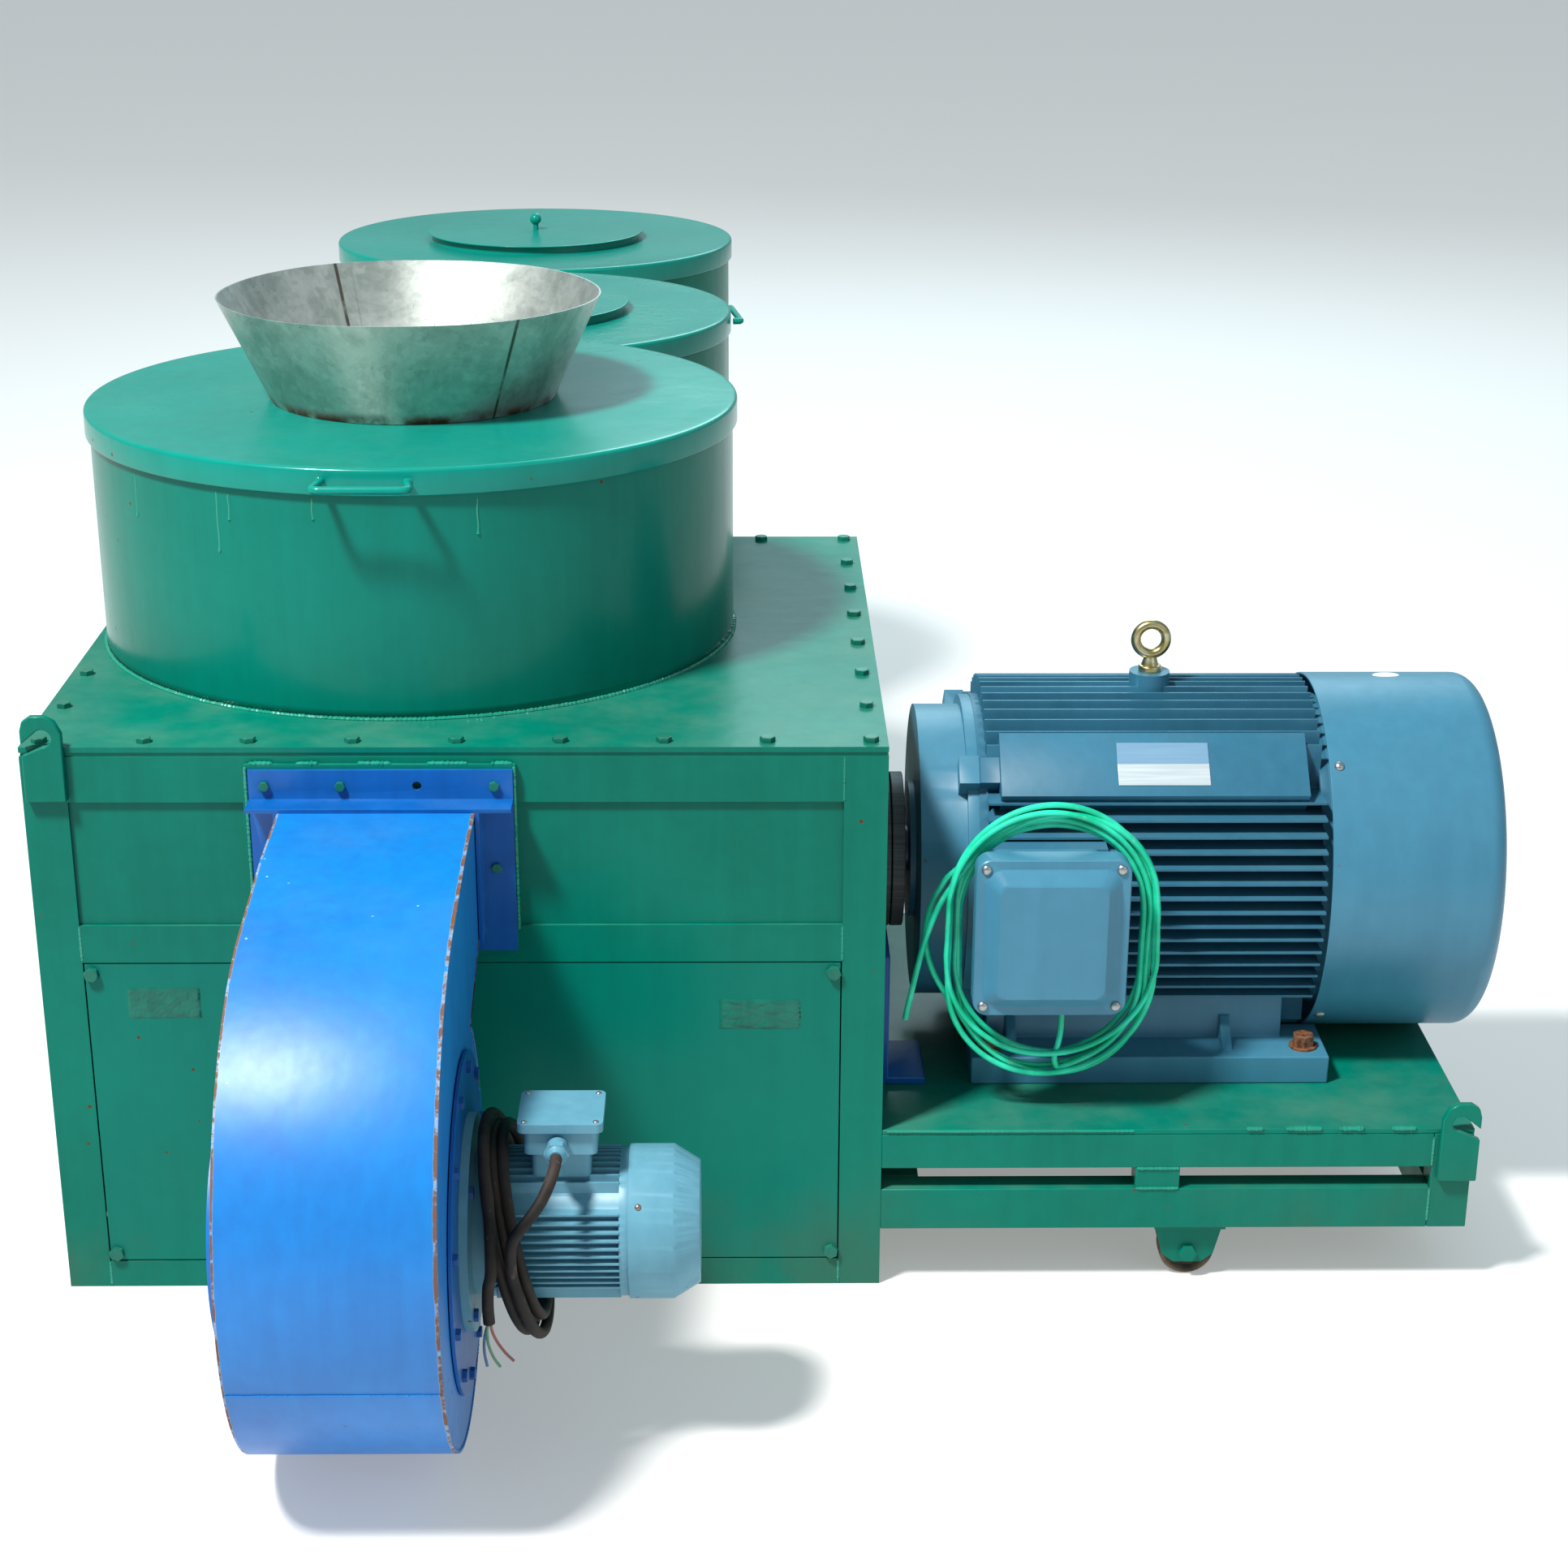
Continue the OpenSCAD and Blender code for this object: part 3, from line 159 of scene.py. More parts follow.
# %% Shade
class Shade:
    """A socket of a material. Sums and products of sockets and numbers add Math nodes."""

    def __init__(self, tree, socket=None):
        self.tree, self.socket = tree, socket

    def make(self, kind, settings=(), sockets=(), output=0):
        """Adds a node of a type with its settings, then its sockets' values or links."""
        node = self.tree.nodes.new("ShaderNode" + kind)
        for key, value in dict(settings).items():
            setattr(node, key, value)
        for key, value in dict(sockets).items():
            if isinstance(value, Shade):
                self.tree.links.new(value.socket, node.inputs[key])
            else:
                node.inputs[key].default_value = value
        return Shade(self.tree, node.outputs[output])

    def math(self, operation, *others):
        return self.make("Math", {"operation": operation}, dict(enumerate((self, *others))))

    def __add__(self, other):
        return self.math("ADD", other)

    __radd__ = __add__

    def __mul__(self, other):
        return self.math("MULTIPLY", other)

    __rmul__ = __mul__

    def __sub__(self, other):
        return self.math("SUBTRACT", other)

    def __rsub__(self, other):
        return self.make("Math", {"operation": "SUBTRACT"}, {0: other, 1: self})

    def step(self, low, high):
        """0 below low, 1 above high and a smooth rise between; low may be above high."""
        sockets = {"Value": self, "From Min": low, "From Max": high}
        return self.make("MapRange", {"interpolation_type": "SMOOTHSTEP"}, sockets)

    def band(self, middle, half):
        """1 at a value and 0 further from it than half."""
        return (self - middle).math("ABSOLUTE").step(half, 0.4 * half)

    def mix(self, one, two):
        """The first colour where this mask is 0, and the second where it is 1."""
        return self.make("Mix", {"data_type": "RGBA"}, {0: self, 6: one, 7: two}, output=2)

    def noise(self, scale, detail=3.0, rough=0.55, twist=0.0):
        """Soft random clouds over this vector, from 0 to 1."""
        sockets = {
            "Vector": self,
            "Scale": scale,
            "Detail": detail,
            "Roughness": rough,
            "Distortion": twist,
        }
        return self.make("TexNoise", {}, sockets)

    def cells(self, scale, output=0):
        """Distance to the nearest of many scattered points, or a random colour per cell."""
        return self.make("TexVoronoi", {}, {"Vector": self, "Scale": scale}, output=output)

    def stretched(self, x, y, z, turn=(0, 0, 0)):
        """The same place measured with other scales, for streaks and brush marks."""
        sockets = {"Vector": self, "Scale": (x, y, z), "Rotation": turn}
        return self.make("Mapping", {}, sockets)

    def axis(self, index):
        """One coordinate of a vector."""
        return self.make("SeparateXYZ", {}, {"Vector": self}, output=index)


def rgb(text):
    """A colour written as six hexadecimal digits, in the linear values that shaders use."""
    values = [int(text[i : i + 2], 16) / 255 for i in (0, 2, 4)]
    linear = [v / 12.92 if v <= 0.04045 else ((v + 0.055) / 1.055) ** 2.4 for v in values]
    return (*linear, 1.0)


def material(name, paint, metallic=0.0, coat=0.0, specular=0.3, coat_rough=0.08):
    """A material whose paint(place) returns its colour, roughness and height in metres, where place
    is the object's own coordinates."""
    made = bpy.data.materials.new(name)
    made.use_nodes = True
    tree = made.node_tree
    shader = tree.nodes["Principled BSDF"]
    shader.inputs["Metallic"].default_value = metallic
    shader.inputs["Coat Weight"].default_value = coat
    shader.inputs["Coat Roughness"].default_value = coat_rough
    shader.inputs["Specular IOR Level"].default_value = specular
    place = Shade(tree).make("TexCoord", output="Object")
    colour, roughness, height = paint(place)
    tree.links.new(colour.socket, shader.inputs["Base Color"])
    tree.links.new(roughness.socket, shader.inputs["Roughness"])
    if height is not None:
        bump = height.make("Bump", {}, {"Height": height, "Strength": 1.0, "Distance": 1.0})
        tree.links.new(bump.socket, shader.inputs["Normal"])
    return made


print("shader class ready")

# %% [markdown]
# ## Surfaces from arrays
#
# Almost every part of this machine is a sheet rolled about an axis, a bar bent along a path, or a
# rounded box. Each is a grid of points worked out from two parameters in one go, which is faster and
# clearer than placing points one by one. `grid` turns such an array into faces.

# %% Grids
def grid(points, ring_u=False, ring_v=False, caps=False):
    """Quads over an array [u, v, xyz]. A ring joins its last line to its first; caps close both
    ends of u with one face each."""
    nu, nv = points.shape[:2]
    ids = np.arange(nu * nv).reshape(nu, nv)
    i, j = np.meshgrid(np.arange(nu - (not ring_u)), np.arange(nv - (not ring_v)), indexing="ij")
    i2, j2 = (i + 1) % nu, (j + 1) % nv
    faces = np.stack([ids[i, j], ids[i2, j], ids[i2, j2], ids[i, j2]], -1).reshape(-1, 4).tolist()
    if caps:
        faces += [ids[0].tolist(), ids[-1][::-1].tolist()]
    return points.reshape(-1, 3), faces


def joined(parts):
    """Several (points, faces) pairs as one."""
    points, faces, start = [], [], 0
    for p, f in parts:
        points.append(np.asarray(p, float))
        faces += [[k + start for k in face] for face in f]
        start += len(p)
    return np.concatenate(points), faces


print("grids ready")

# %% [markdown]
# ## From a grid to a piece
#
# A mesh becomes part of the machine once it has a finish, rides on a moving body and hides the
# design parts it stands for. `piece` first welds points that meet and turns all faces outwards.
# `finished` is apart from it, because pieces that start from a design part's own mesh need only
# that half.

# %% Pieces
def finished(name, mesh, look, body, replaces=(), smooth=35):
    """Links a mesh as a piece that rides on a body, with smooth shading up to an angle."""
    made = bpy.data.objects.new(name, mesh)
    bpy.context.collection.objects.link(made)
    mesh.shade_smooth()
    mesh.set_sharp_from_angle(angle=math.radians(smooth))
    mesh.materials.clear()
    mesh.materials.append(look)
    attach(made, body)
    if replaces:
        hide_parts(*replaces)
    return made


def piece(name, parts, look, body, replaces=(), smooth=35, weld=2e-6):
    """A piece from (points, faces) pairs: welded where points meet, with faces turned outwards."""
    points, faces = joined(parts) if isinstance(parts, list) else parts
    mesh = bpy.data.meshes.new(name)
    mesh.from_pydata(points.tolist(), [], faces)
    work = bmesh.new()
    work.from_mesh(mesh)
    bmesh.ops.remove_doubles(work, verts=work.verts, dist=weld)
    bmesh.ops.dissolve_degenerate(work, edges=work.edges, dist=weld)
    bmesh.ops.recalc_face_normals(work, faces=work.faces)
    work.to_mesh(mesh)
    work.free()
    print(name, len(mesh.polygons), "faces")
    return finished(name, mesh, look, body, replaces, smooth)


print("pieces ready")

# %% [markdown]
# ## Turned shapes
#
# Drums, lids, wheels and bolt heads are all turned: an outline goes round an axis. Blender's Screw
# modifier does the same, but an array can still be dented or bent before it becomes faces.

# %% Turned shapes
AXES = {"x": (1, 2, 0), "y": (2, 0, 1), "z": (0, 1, 2)}


def revolve(profile, centre, axis="z", steps=128, start=0.0, end=TURN):
    """Turns a profile of (radius, along) pairs about an axis through a centre: each point goes to
    radius * (cos a, sin a) across the axis and to its own station along it."""
    full = abs(end - start - TURN) < 1e-9
    a = np.linspace(start, end, steps, endpoint=not full)[:, None]
    r, h = np.array(profile, float).T
    points = np.empty((steps, len(r), 3))
    u, v, w = AXES[axis]
    points[..., u] = r * np.cos(a)
    points[..., v] = r * np.sin(a)
    points[..., w] = h + 0 * a
    return points + np.array(centre, float)


def arc(middle, radius, start, end, steps=6):
    """Points on an arc in a profile's plane, angles in degrees."""
    a = np.radians(np.linspace(start, end, steps))
    return np.stack([middle[0] + radius * np.cos(a), middle[1] + radius * np.sin(a)], -1)


def closed_turn(profile, centre, axis="z", steps=128):
    """A closed profile turned about an axis, as (points, faces)."""
    return grid(revolve(profile, centre, axis, steps), ring_u=True, ring_v=True)


print("turned shapes ready")

# %% [markdown]
# ## Bars, tubes and wires
#
# A handle, a weld and a cable are each a round section carried along a path. A curve object with a
# bevel would look the same, but here the ring can change its radius from point to point, and the
# path's exact length is at hand.

# %% Swept shapes
def sweep(path, radius, sides=12, up=(0, 0, 1)):
    """A round tube along a path: at each point the ring lies square to the path's direction.
    radius is a number or one number per point."""
    path = np.array(path, float)
    along = np.gradient(path, axis=0)
    along /= np.linalg.norm(along, axis=1, keepdims=True)
    side = np.cross(along, np.array(up, float))
    side /= np.linalg.norm(side, axis=1, keepdims=True)
    rise = np.cross(side, along)
    a = np.linspace(0, TURN, sides, endpoint=False)
    r = np.broadcast_to(np.asarray(radius, float), len(path))[:, None, None]
    ring = np.cos(a)[None, :, None] * side[:, None] + np.sin(a)[None, :, None] * rise[:, None]
    return grid(path[:, None] + r * ring, ring_v=True, caps=True)


def length_of(path):
    """Length of a path: the sum of its steps."""
    return float(np.linalg.norm(np.diff(path, axis=0), axis=1).sum())


def smooth_path(knots, steps=8):
    """A smooth curve through all the knots: each span is a cubic whose end directions are half the
    step between its neighbours."""
    p = np.array(knots, float)
    ends = np.vstack([2 * p[0] - p[1], p, 2 * p[-1] - p[-2]])
    t = np.linspace(0, 1, steps, endpoint=False)[None, :, None]
    a, b, c, d = ends[:-3, None], ends[1:-2, None], ends[2:-1, None], ends[3:, None]
    curve = 0.5 * (
        2 * b + (c - a) * t + (2 * a - 5 * b + 4 * c - d) * t**2 + (3 * b - a - 3 * c + d) * t**3
    )
    return np.vstack([curve.reshape(-1, 3), p[-1:]])


def rounded(path, radius, steps=7):
    """A path of straight runs whose corners become arcs of a radius, for bent bar."""
    p = np.array(path, float)
    out = [p[0]]
    for before, corner, after in zip(p[:-2], p[1:-1], p[2:]):
        one = (before - corner) / np.linalg.norm(before - corner)
        two = (after - corner) / np.linalg.norm(after - corner)
        half = math.acos(np.clip(one @ two, -1, 1)) / 2
        back = radius / math.tan(half)
        t = np.linspace(0, 1, steps)[:, None]
        start, end = corner + back * one, corner + back * two
        out += list((1 - t) ** 2 * start + 2 * t * (1 - t) * corner + t**2 * end)
    return np.array(out + [p[-1]])


print("swept shapes ready")

# %% [markdown]
# ## Uneven surfaces and welds
#
# Rolled sheet is never quite flat and hand-laid weld is never quite even. Both come from sums of
# waves with seeded random directions, so each run makes the same dents.

# %% Waves and beads
def waves(u, v, count, amount, pitch, seed):
    """A gentle uneven surface: a sum of sine waves in random directions, about amount high."""
    r = np.random.default_rng(seed)
    total = 0 * (u + v)
    for k in range(count):
        a, phase = r.uniform(0, TURN, 2)
        f = TURN / pitch * r.uniform(0.6, 1.6)
        total = total + np.sin(f * (u * math.cos(a) + v * math.sin(a)) + phase)
    return amount * total / math.sqrt(count)


RIPPLE, SAMPLE = 7 * MM, 2.2 * MM


def weld_bead(path, width, seed=1):
    """A hand-laid weld along a path: a low round bead whose width ripples every few millimetres."""
    path = np.array(path, float)
    far = np.concatenate([[0], np.cumsum(np.linalg.norm(np.diff(path, axis=0), axis=1))])
    at = np.linspace(0, far[-1], max(4, int(far[-1] / SAMPLE)))
    line = np.stack([np.interp(at, far, path[:, k]) for k in range(3)], -1)
    r = np.random.default_rng(seed)
    beat = 0.16 * np.sin(TURN * at / RIPPLE) + 0.10 * r.standard_normal(len(at))
    radius = width * (1 + beat)
    radius[[0, -1]] *= 0.4
    return sweep(line, radius, sides=8, up=(0.31, 0.17, 0.93))


print("waves and beads ready")

# %% [markdown]
# ## Paint
#
# The steel wears gloss enamel put on by spray and brush. Up close it has orange peel, faint runs,
# dust on the flat tops and small chips where a tool has knocked it. One function makes any colour of
# it: `deep` and `light` are the two tones that the clouds of noise move between. A flat colour would
# be simpler, but large plain panels then look like plastic.

# %% Paint
def normal_up(place):
    """How far the surface faces the sky, from -1 to 1."""
    return place.make("NewGeometry", output="Normal").axis(2)


def painted(deep, light, rust, rough=0.24, chips=1.0, dust=0.35, extra=None):
    """Enamel: clouds of two tones, runs down the upright faces, dust on the tops, chips to rust."""

    def paint(place):
        clouds = place.noise(1.9, 3, 0.5)
        mottle = place.noise(31, 3, 0.6)
        runs = place.stretched(26, 26, 1.4).noise(1.6, 3, 0.6)
        tone = (clouds * 0.62 + mottle * 0.16 + runs * 0.22).step(0.30, 0.72)
        colour = tone.mix(rgb(deep), rgb(light))
        top = normal_up(place).step(0.5, 0.95)
        grains = place.noise(7.0, 4, 0.6)
        film = top * grains.step(0.35, 0.85) * dust * 0.5
        colour = film.mix(colour, rgb("8c9a86"))
        knocks = place.cells(23).step(0.085, 0.055) * place.noise(2.7, 2).step(0.60, 0.68) * chips
        colour = knocks.mix(colour, rgb(rust))
        roughness = rough + film * 0.5 + (1 - tone) * 0.07 + knocks * 0.4
        peel = place.noise(210, 2, 0.5)
        sags = place.stretched(9, 9, 1.1).noise(2.0, 2)
        height = peel * 0.00002 + sags * 0.0007 - knocks * 0.0002
        if extra:
            colour, roughness, height = extra(place, colour, roughness, height)
        return colour, roughness, height

    return paint


print("enamel recipe ready")

# %% [markdown]
# ## The green enamels
#
# The housing, the drums, the lids and the door were painted on different days, so each has its own
# pair of greens. The bolt heads and the tape are chipped most. Welds were painted thickest and are
# the glossiest.

# %% Greens
RUST_BROWN = "5a3620"


def kicked_foot(place, colour, roughness, height):
    """Splashes of mud and dull paint near the floor."""
    low = place.axis(2).step(0.28, 0.0) * place.noise(4.0, 4).step(0.42, 0.7)
    return (low * 0.55).mix(colour, rgb("3f5a48")), roughness + low * 0.25, height


green_paint = material(
    "green_enamel",
    painted("006453", "007562", RUST_BROWN, 0.26, extra=kicked_foot),
    coat=0.02,
    specular=0.12,
)
lid_paint = material(
    "green_lid", painted("00786a", "00887a", RUST_BROWN, 0.20, dust=0.1), coat=0.1, specular=0.2
)
drum_paint = material(
    "green_drum", painted("006757", "007566", RUST_BROWN, 0.20, dust=0.1), coat=0.04, specular=0.12
)
door_paint = material(
    "green_door",
    painted("00695a", "007463", RUST_BROWN, 0.30, extra=kicked_foot),
    coat=0.02,
    specular=0.12,
)
bolt_green = material("green_bolt", painted("0a5a4a", "0f7460", RUST_BROWN, 0.30, chips=2.0))
tape_paint = material("green_tape", painted("003d33", "087561", RUST_BROWN, 0.26, chips=6.0))
bead_paint = material(
    "green_weld", painted("057560", "169078", RUST_BROWN, 0.20, chips=0.3), coat=0.4
)
print("greens", len(bpy.data.materials) - 1)

# %% [markdown]
# ## Blue paint with chipped edges
#
# The blower is a brighter, more satin blue. Its sheet edges have been knocked down to brown primer
# and rust, and the rolled wrapper has hairline scratches. The chips follow the two cut edges of the
# wrapper, whose places along X come from the casing's box, so the mask is only distance from there.

# %% Blue paint
casing_lo, casing_hi = box("blower_casing")
RIGHT_EDGE = casing_hi[0]
LEFT_EDGE = casing_lo[0] + 40 * MM


def edge_wear(place, colour, roughness, height):
    """Ragged chips along both edges of the wrapper, and a few long scratches."""
    x = place.axis(0)
    ragged = place.noise(34, 5, 0.75)
    patchy = place.stretched(1, 5, 5).noise(1.4, 3)
    sideways = place.make("NewGeometry", output="Normal").axis(0).math("ABSOLUTE").step(0.5, 0.9)
    near = x.band(RIGHT_EDGE, 9 * MM).math("MAXIMUM", x.band(LEFT_EDGE, 6 * MM)) * (1 - sideways)
    wear = near * 0.75 + ragged * 0.8 + patchy * 0.35
    worn, primer = wear.step(1.24, 1.34), wear.step(1.16, 1.24)
    colour = (primer * 0.8).mix(colour, rgb("8f9fae"))
    colour = worn.mix(colour, rgb("6e4630"))
    line = place.stretched(3, 1.2, 9, turn=(0.4, 0.2, 0.9)).cells(3.3)
    scratch = line.step(0.035, 0.02) * place.noise(5.5, 2).step(0.56, 0.62)
    colour = (scratch * 0.7).mix(colour, rgb("20406e"))
    spot = place.cells(44).step(0.10, 0.06) * place.noise(4.1, 2).step(0.55, 0.62)
    colour = (spot * 0.8).mix(colour, rgb("9cc4e6"))
    return colour, roughness + worn * 0.35, height - worn * 0.0004 - scratch * 0.0001


blue_paint = material(
    "blue_enamel",
    painted("0060ac", "007ccc", "3c2c22", 0.40, chips=0.6, dust=0.12, extra=edge_wear),
    specular=0.6,
)
plain_blue = material(
    "blue_cover", painted("00488c", "0660ae", "3c2c22", 0.36, chips=0.8, dust=0.2), coat=0.1
)
motor_paint = material(
    "motor_enamel", painted("366f88", "41809a", "5b4436", 0.34, chips=0.6, dust=0.18), specular=0.4
)
barrel_paint = material(
    "motor_fins", painted("2a6078", "35708a", "3a3a38", 0.38, chips=0.5, dust=0.2)
)
fan_motor_paint = material(
    "blower_motor_enamel", painted("4f8599", "669cae", "7a4c34", 0.34, chips=1.2, dust=0.12)
)
blue_bolt = material("blue_bolt", painted("0a3f7c", "1458a0", "8a98a4", 0.36, chips=3.0))


PLATE_BAND = 769.4 * MM


def plate_finish(place):
    """Brushed blank plate with one blue band along its upper edge."""
    brush = place.stretched(1, 40, 40).noise(8, 3)
    colour = brush.mix(rgb("b7c3c9"), rgb("dfe6e8"))
    band = place.axis(2).step(PLATE_BAND - 0.4 * MM, PLATE_BAND + 0.4 * MM)
    colour = (band * 0.85).mix(colour, rgb("6f9fc0"))
    return colour, 0.32 + brush * 0.15, brush * 0.00003


plate_paint = material("blank_plate", plate_finish, metallic=0.6)
print("paints", len(bpy.data.materials))

# %% [markdown]
# ## Bare and coated metals
#
# Galvanised sheet has a spangle of pale crystals, water stains and rust at its foot. The castings
# and shafts inside are dark oily steel. The lifting eye is yellow zinc. The foot bolts were never
# painted and have rusted. Each is a metal whose roughness varies more than its colour.

# %% Metals
hopper_lo, hopper_hi = box("feed_hopper")
HOPPER_FOOT = box("front_lid")[1][2]
HOPPER_MID = (hopper_lo + hopper_hi) / 2
SEAM_EDGES = np.radians((-51.6, 120.6))


def galvanised(place):
    """Spangle from random cells, grey water stains, pits, and rust that climbs from the foot."""
    crystals = place.cells(85, output=1).axis(0)
    stains = place.noise(6.5, 6, 0.7, 0.6)
    runs = place.stretched(30, 30, 3).noise(1.3, 4, 0.65)
    base = (crystals * 0.08 + stains * 0.92).step(0.25, 0.8).mix(rgb("8d968f"), rgb("d3d6d0"))
    dark = stains.step(0.56, 0.72) * 0.5 + runs.step(0.6, 0.75) * 0.25
    colour = dark.mix(base, rgb("5d665f"))
    pits = place.cells(95).step(0.14, 0.07) * place.noise(9, 3).step(0.52, 0.62)
    colour = (pits * 0.8).mix(colour, rgb("4a4a42"))
    turn = (place.axis(1) - HOPPER_MID[1]).math("ARCTAN2", place.axis(0) - HOPPER_MID[0])
    seams = turn.band(SEAM_EDGES[0], 0.014).math("MAXIMUM", turn.band(SEAM_EDGES[1], 0.014))
    colour = (seams * place.noise(16, 4).step(0.25, 0.5) * 0.85).mix(colour, rgb("3f3023"))
    climb = (place.axis(2) - HOPPER_FOOT).step(0.022, 0.0) + place.noise(14, 4).step(0.62, 0.8) * 0.3
    rust = (climb * place.noise(22, 4).step(0.35, 0.6)).math("MINIMUM", 1.0)
    colour = rust.mix(colour, rgb("5c3a26"))
    roughness = 0.30 + stains * 0.22 + rust * 0.4
    return colour, roughness, stains * 0.0004 - pits * 0.0001


def bare_steel(tone, rough, spots):
    """Worked steel with faint turning marks and brown spots."""

    def paint(place):
        grain = place.stretched(1, 60, 60).noise(5, 3)
        brown = place.noise(11, 5, 0.7).step(0.62 - spots, 0.85 - spots)
        colour = grain.mix(rgb(tone), rgb("8d9092"))
        colour = (brown * 0.8).mix(colour, rgb("5a3f2c"))
        return colour, rough + grain * 0.12 + brown * 0.3, grain * 0.00006 + brown * 0.0002

    return paint


def rusted(place):
    """Flaky brown rust with darker pits."""
    flakes = place.noise(120, 5, 0.7)
    clouds = place.noise(35, 3)
    colour = flakes.step(0.35, 0.65).mix(rgb("4a2c1c"), rgb("8a5a3c"))
    colour = (clouds.step(0.5, 0.7) * 0.5).mix(colour, rgb("6f5848"))
    return colour, 0.62 + flakes * 0.2, flakes * 0.0005


def zinc(place):
    """Yellow zinc: a warm metal with a faint rainbow of tones and dull patches."""
    tint = place.noise(26, 3, 0.5, 1.2)
    colour = tint.step(0.35, 0.65).mix(rgb("ab9a68"), rgb("d6ccaa"))
    colour = (place.noise(60, 4).step(0.6, 0.75) * 0.5).mix(colour, rgb("8a7a66"))
    return colour, 0.24 + tint * 0.2, tint * 0.0002


def castor_tread(place):
    """A hard tread picked with dust and stones."""
    grit = place.noise(140, 4, 0.7)
    dust = place.noise(18, 4).step(0.4, 0.7)
    colour = dust.mix(rgb("2a2724"), rgb("6d5c48"))
    return colour, 0.6 + grit * 0.25, grit * 0.0006


zinc_sheet = material("galvanised_sheet", galvanised, metallic=0.75)
dark_steel = material("dark_steel", bare_steel("4c4f52", 0.34, 0.05), metallic=0.8)
worn_steel = material("worn_steel", bare_steel("6a6c6e", 0.36, 0.14), metallic=0.75)
cast_iron = material("cast_iron", bare_steel("2c3034", 0.5, 0.0), metallic=0.3)
rust_bolt = material("rusty_bolt", rusted, metallic=0.2)
yellow_zinc = material("yellow_zinc", zinc, metallic=1.0)
tread = material("wheel_rubber", castor_tread)
bright_steel = material("bright_screw", bare_steel("b9bcbc", 0.25, 0.0), metallic=0.9)
copper = material("copper_screw", bare_steel("a4623c", 0.3, 0.0), metallic=0.8)
plug_paint = material("white_plug", painted("d9dcd8", "eef0ec", "a8a49a", 0.4, chips=0.2, dust=0.2))
print("metals", len(bpy.data.materials))

# %% [markdown]
# ## Cables
#
# Two cables lie on the machine. A thin green wire leaves the drive motor's terminal box and is hung
# round the box's neck in a loose hank of seven turns, one of them wide, and its free end dangles. A
# thick black rubber cable leaves the blower motor's gland, goes round the motor four times and ends
# in three bared cores. A physics simulation could drop them, but a hung hank has a plain rule: turns
# of one racetrack shape, whose size and place drift a little from turn to turn.

# %% Cable finishes
def plastic_wire(place):
    """Bright green PVC, dusty in places."""
    clouds = place.noise(14, 4)
    colour = clouds.step(0.35, 0.7).mix(rgb("02b184"), rgb("2cd9b0"))
    dusty = place.noise(55, 4).step(0.6, 0.8)
    return (dusty * 0.35).mix(colour, rgb("8fcdb8")), 0.3 + dusty * 0.3, clouds * 0.0003


def rubber_cable(place):
    """Black rubber, grey with dried mud and pale scuffs."""
    clouds = place.noise(9, 4, 0.65)
    colour = clouds.step(0.35, 0.7).mix(rgb("16130f"), rgb("3a302a"))
    scuff = place.stretched(1, 1, 0.4).noise(70, 4).step(0.62, 0.75)
    return (scuff * 0.45).mix(colour, rgb("6d625a")), 0.55 + clouds * 0.25, scuff * 0.0003


def core_finish(tone):
    """One bared core's coloured insulation."""

    def paint(place):
        clouds = place.noise(80, 3)
        return clouds.mix(rgb(tone), rgb("7d7d78")), 0.4 + clouds * 0.2, None

    return paint


green_pvc = material("green_wire", plastic_wire)
black_rubber = material("black_cable", rubber_cable)
core_paints = {
    "green": material("core_green", core_finish("1d9a66")),
    "red": material("core_red", core_finish("a8322a")),
    "blue": material("core_blue", core_finish("2a6aa8")),
}

print("cable finishes", len(core_paints) + 2)

# %% [markdown]
# ## The shape of the hank
#
# The wire leaves the foot of the terminal box and goes round its neck seven times. Each turn is a
# racetrack: two straight sides and two half circles. Drawing seven turns by hand would tangle them,
# so one function gives the point after any number of turns, and half-width, top, foot and depth
# drift from each turn's own value to the next. Places are in millimetres.

# %% Hank
WIRE_R = 4.5 * MM
WIRE_LEAD = [
    (900, -515, 430), (900, -515, 410), (899, -515, 390), (896, -515, 372), (892, -515, 356),
]
LOOSE_LOOP = [
    (731, -508, 655), (712, -506, 630), (697, -505, 597), (690, -504, 560),
    (692, -504, 525), (703, -505, 490), (722, -506, 455), (742, -508, 425),
]
FREE_END = [
    (724, -514, 628), (708, -522, 604), (695, -528, 574), (685, -531, 542), (677, -531, 507),
    (670, -530, 472), (664, -528, 442), (661, -526, 421),
]
HANK_X, HANK_SIDE, HANK_TOP, HANK_FOOT = 881, 134, 719, 356
TURNS, KNOTS = 7, 26
WIDE_TURN = 3


def drift(values, t):
    """Goes smoothly from each turn's value to the next: half a cosine wave between whole turns."""
    whole = np.clip(t.astype(int), 0, len(values) - 2)
    part = 0.5 - 0.5 * np.cos(math.pi * (t - whole))
    values = np.array(values, float)
    return values[whole] * (1 - part) + values[whole + 1] * part


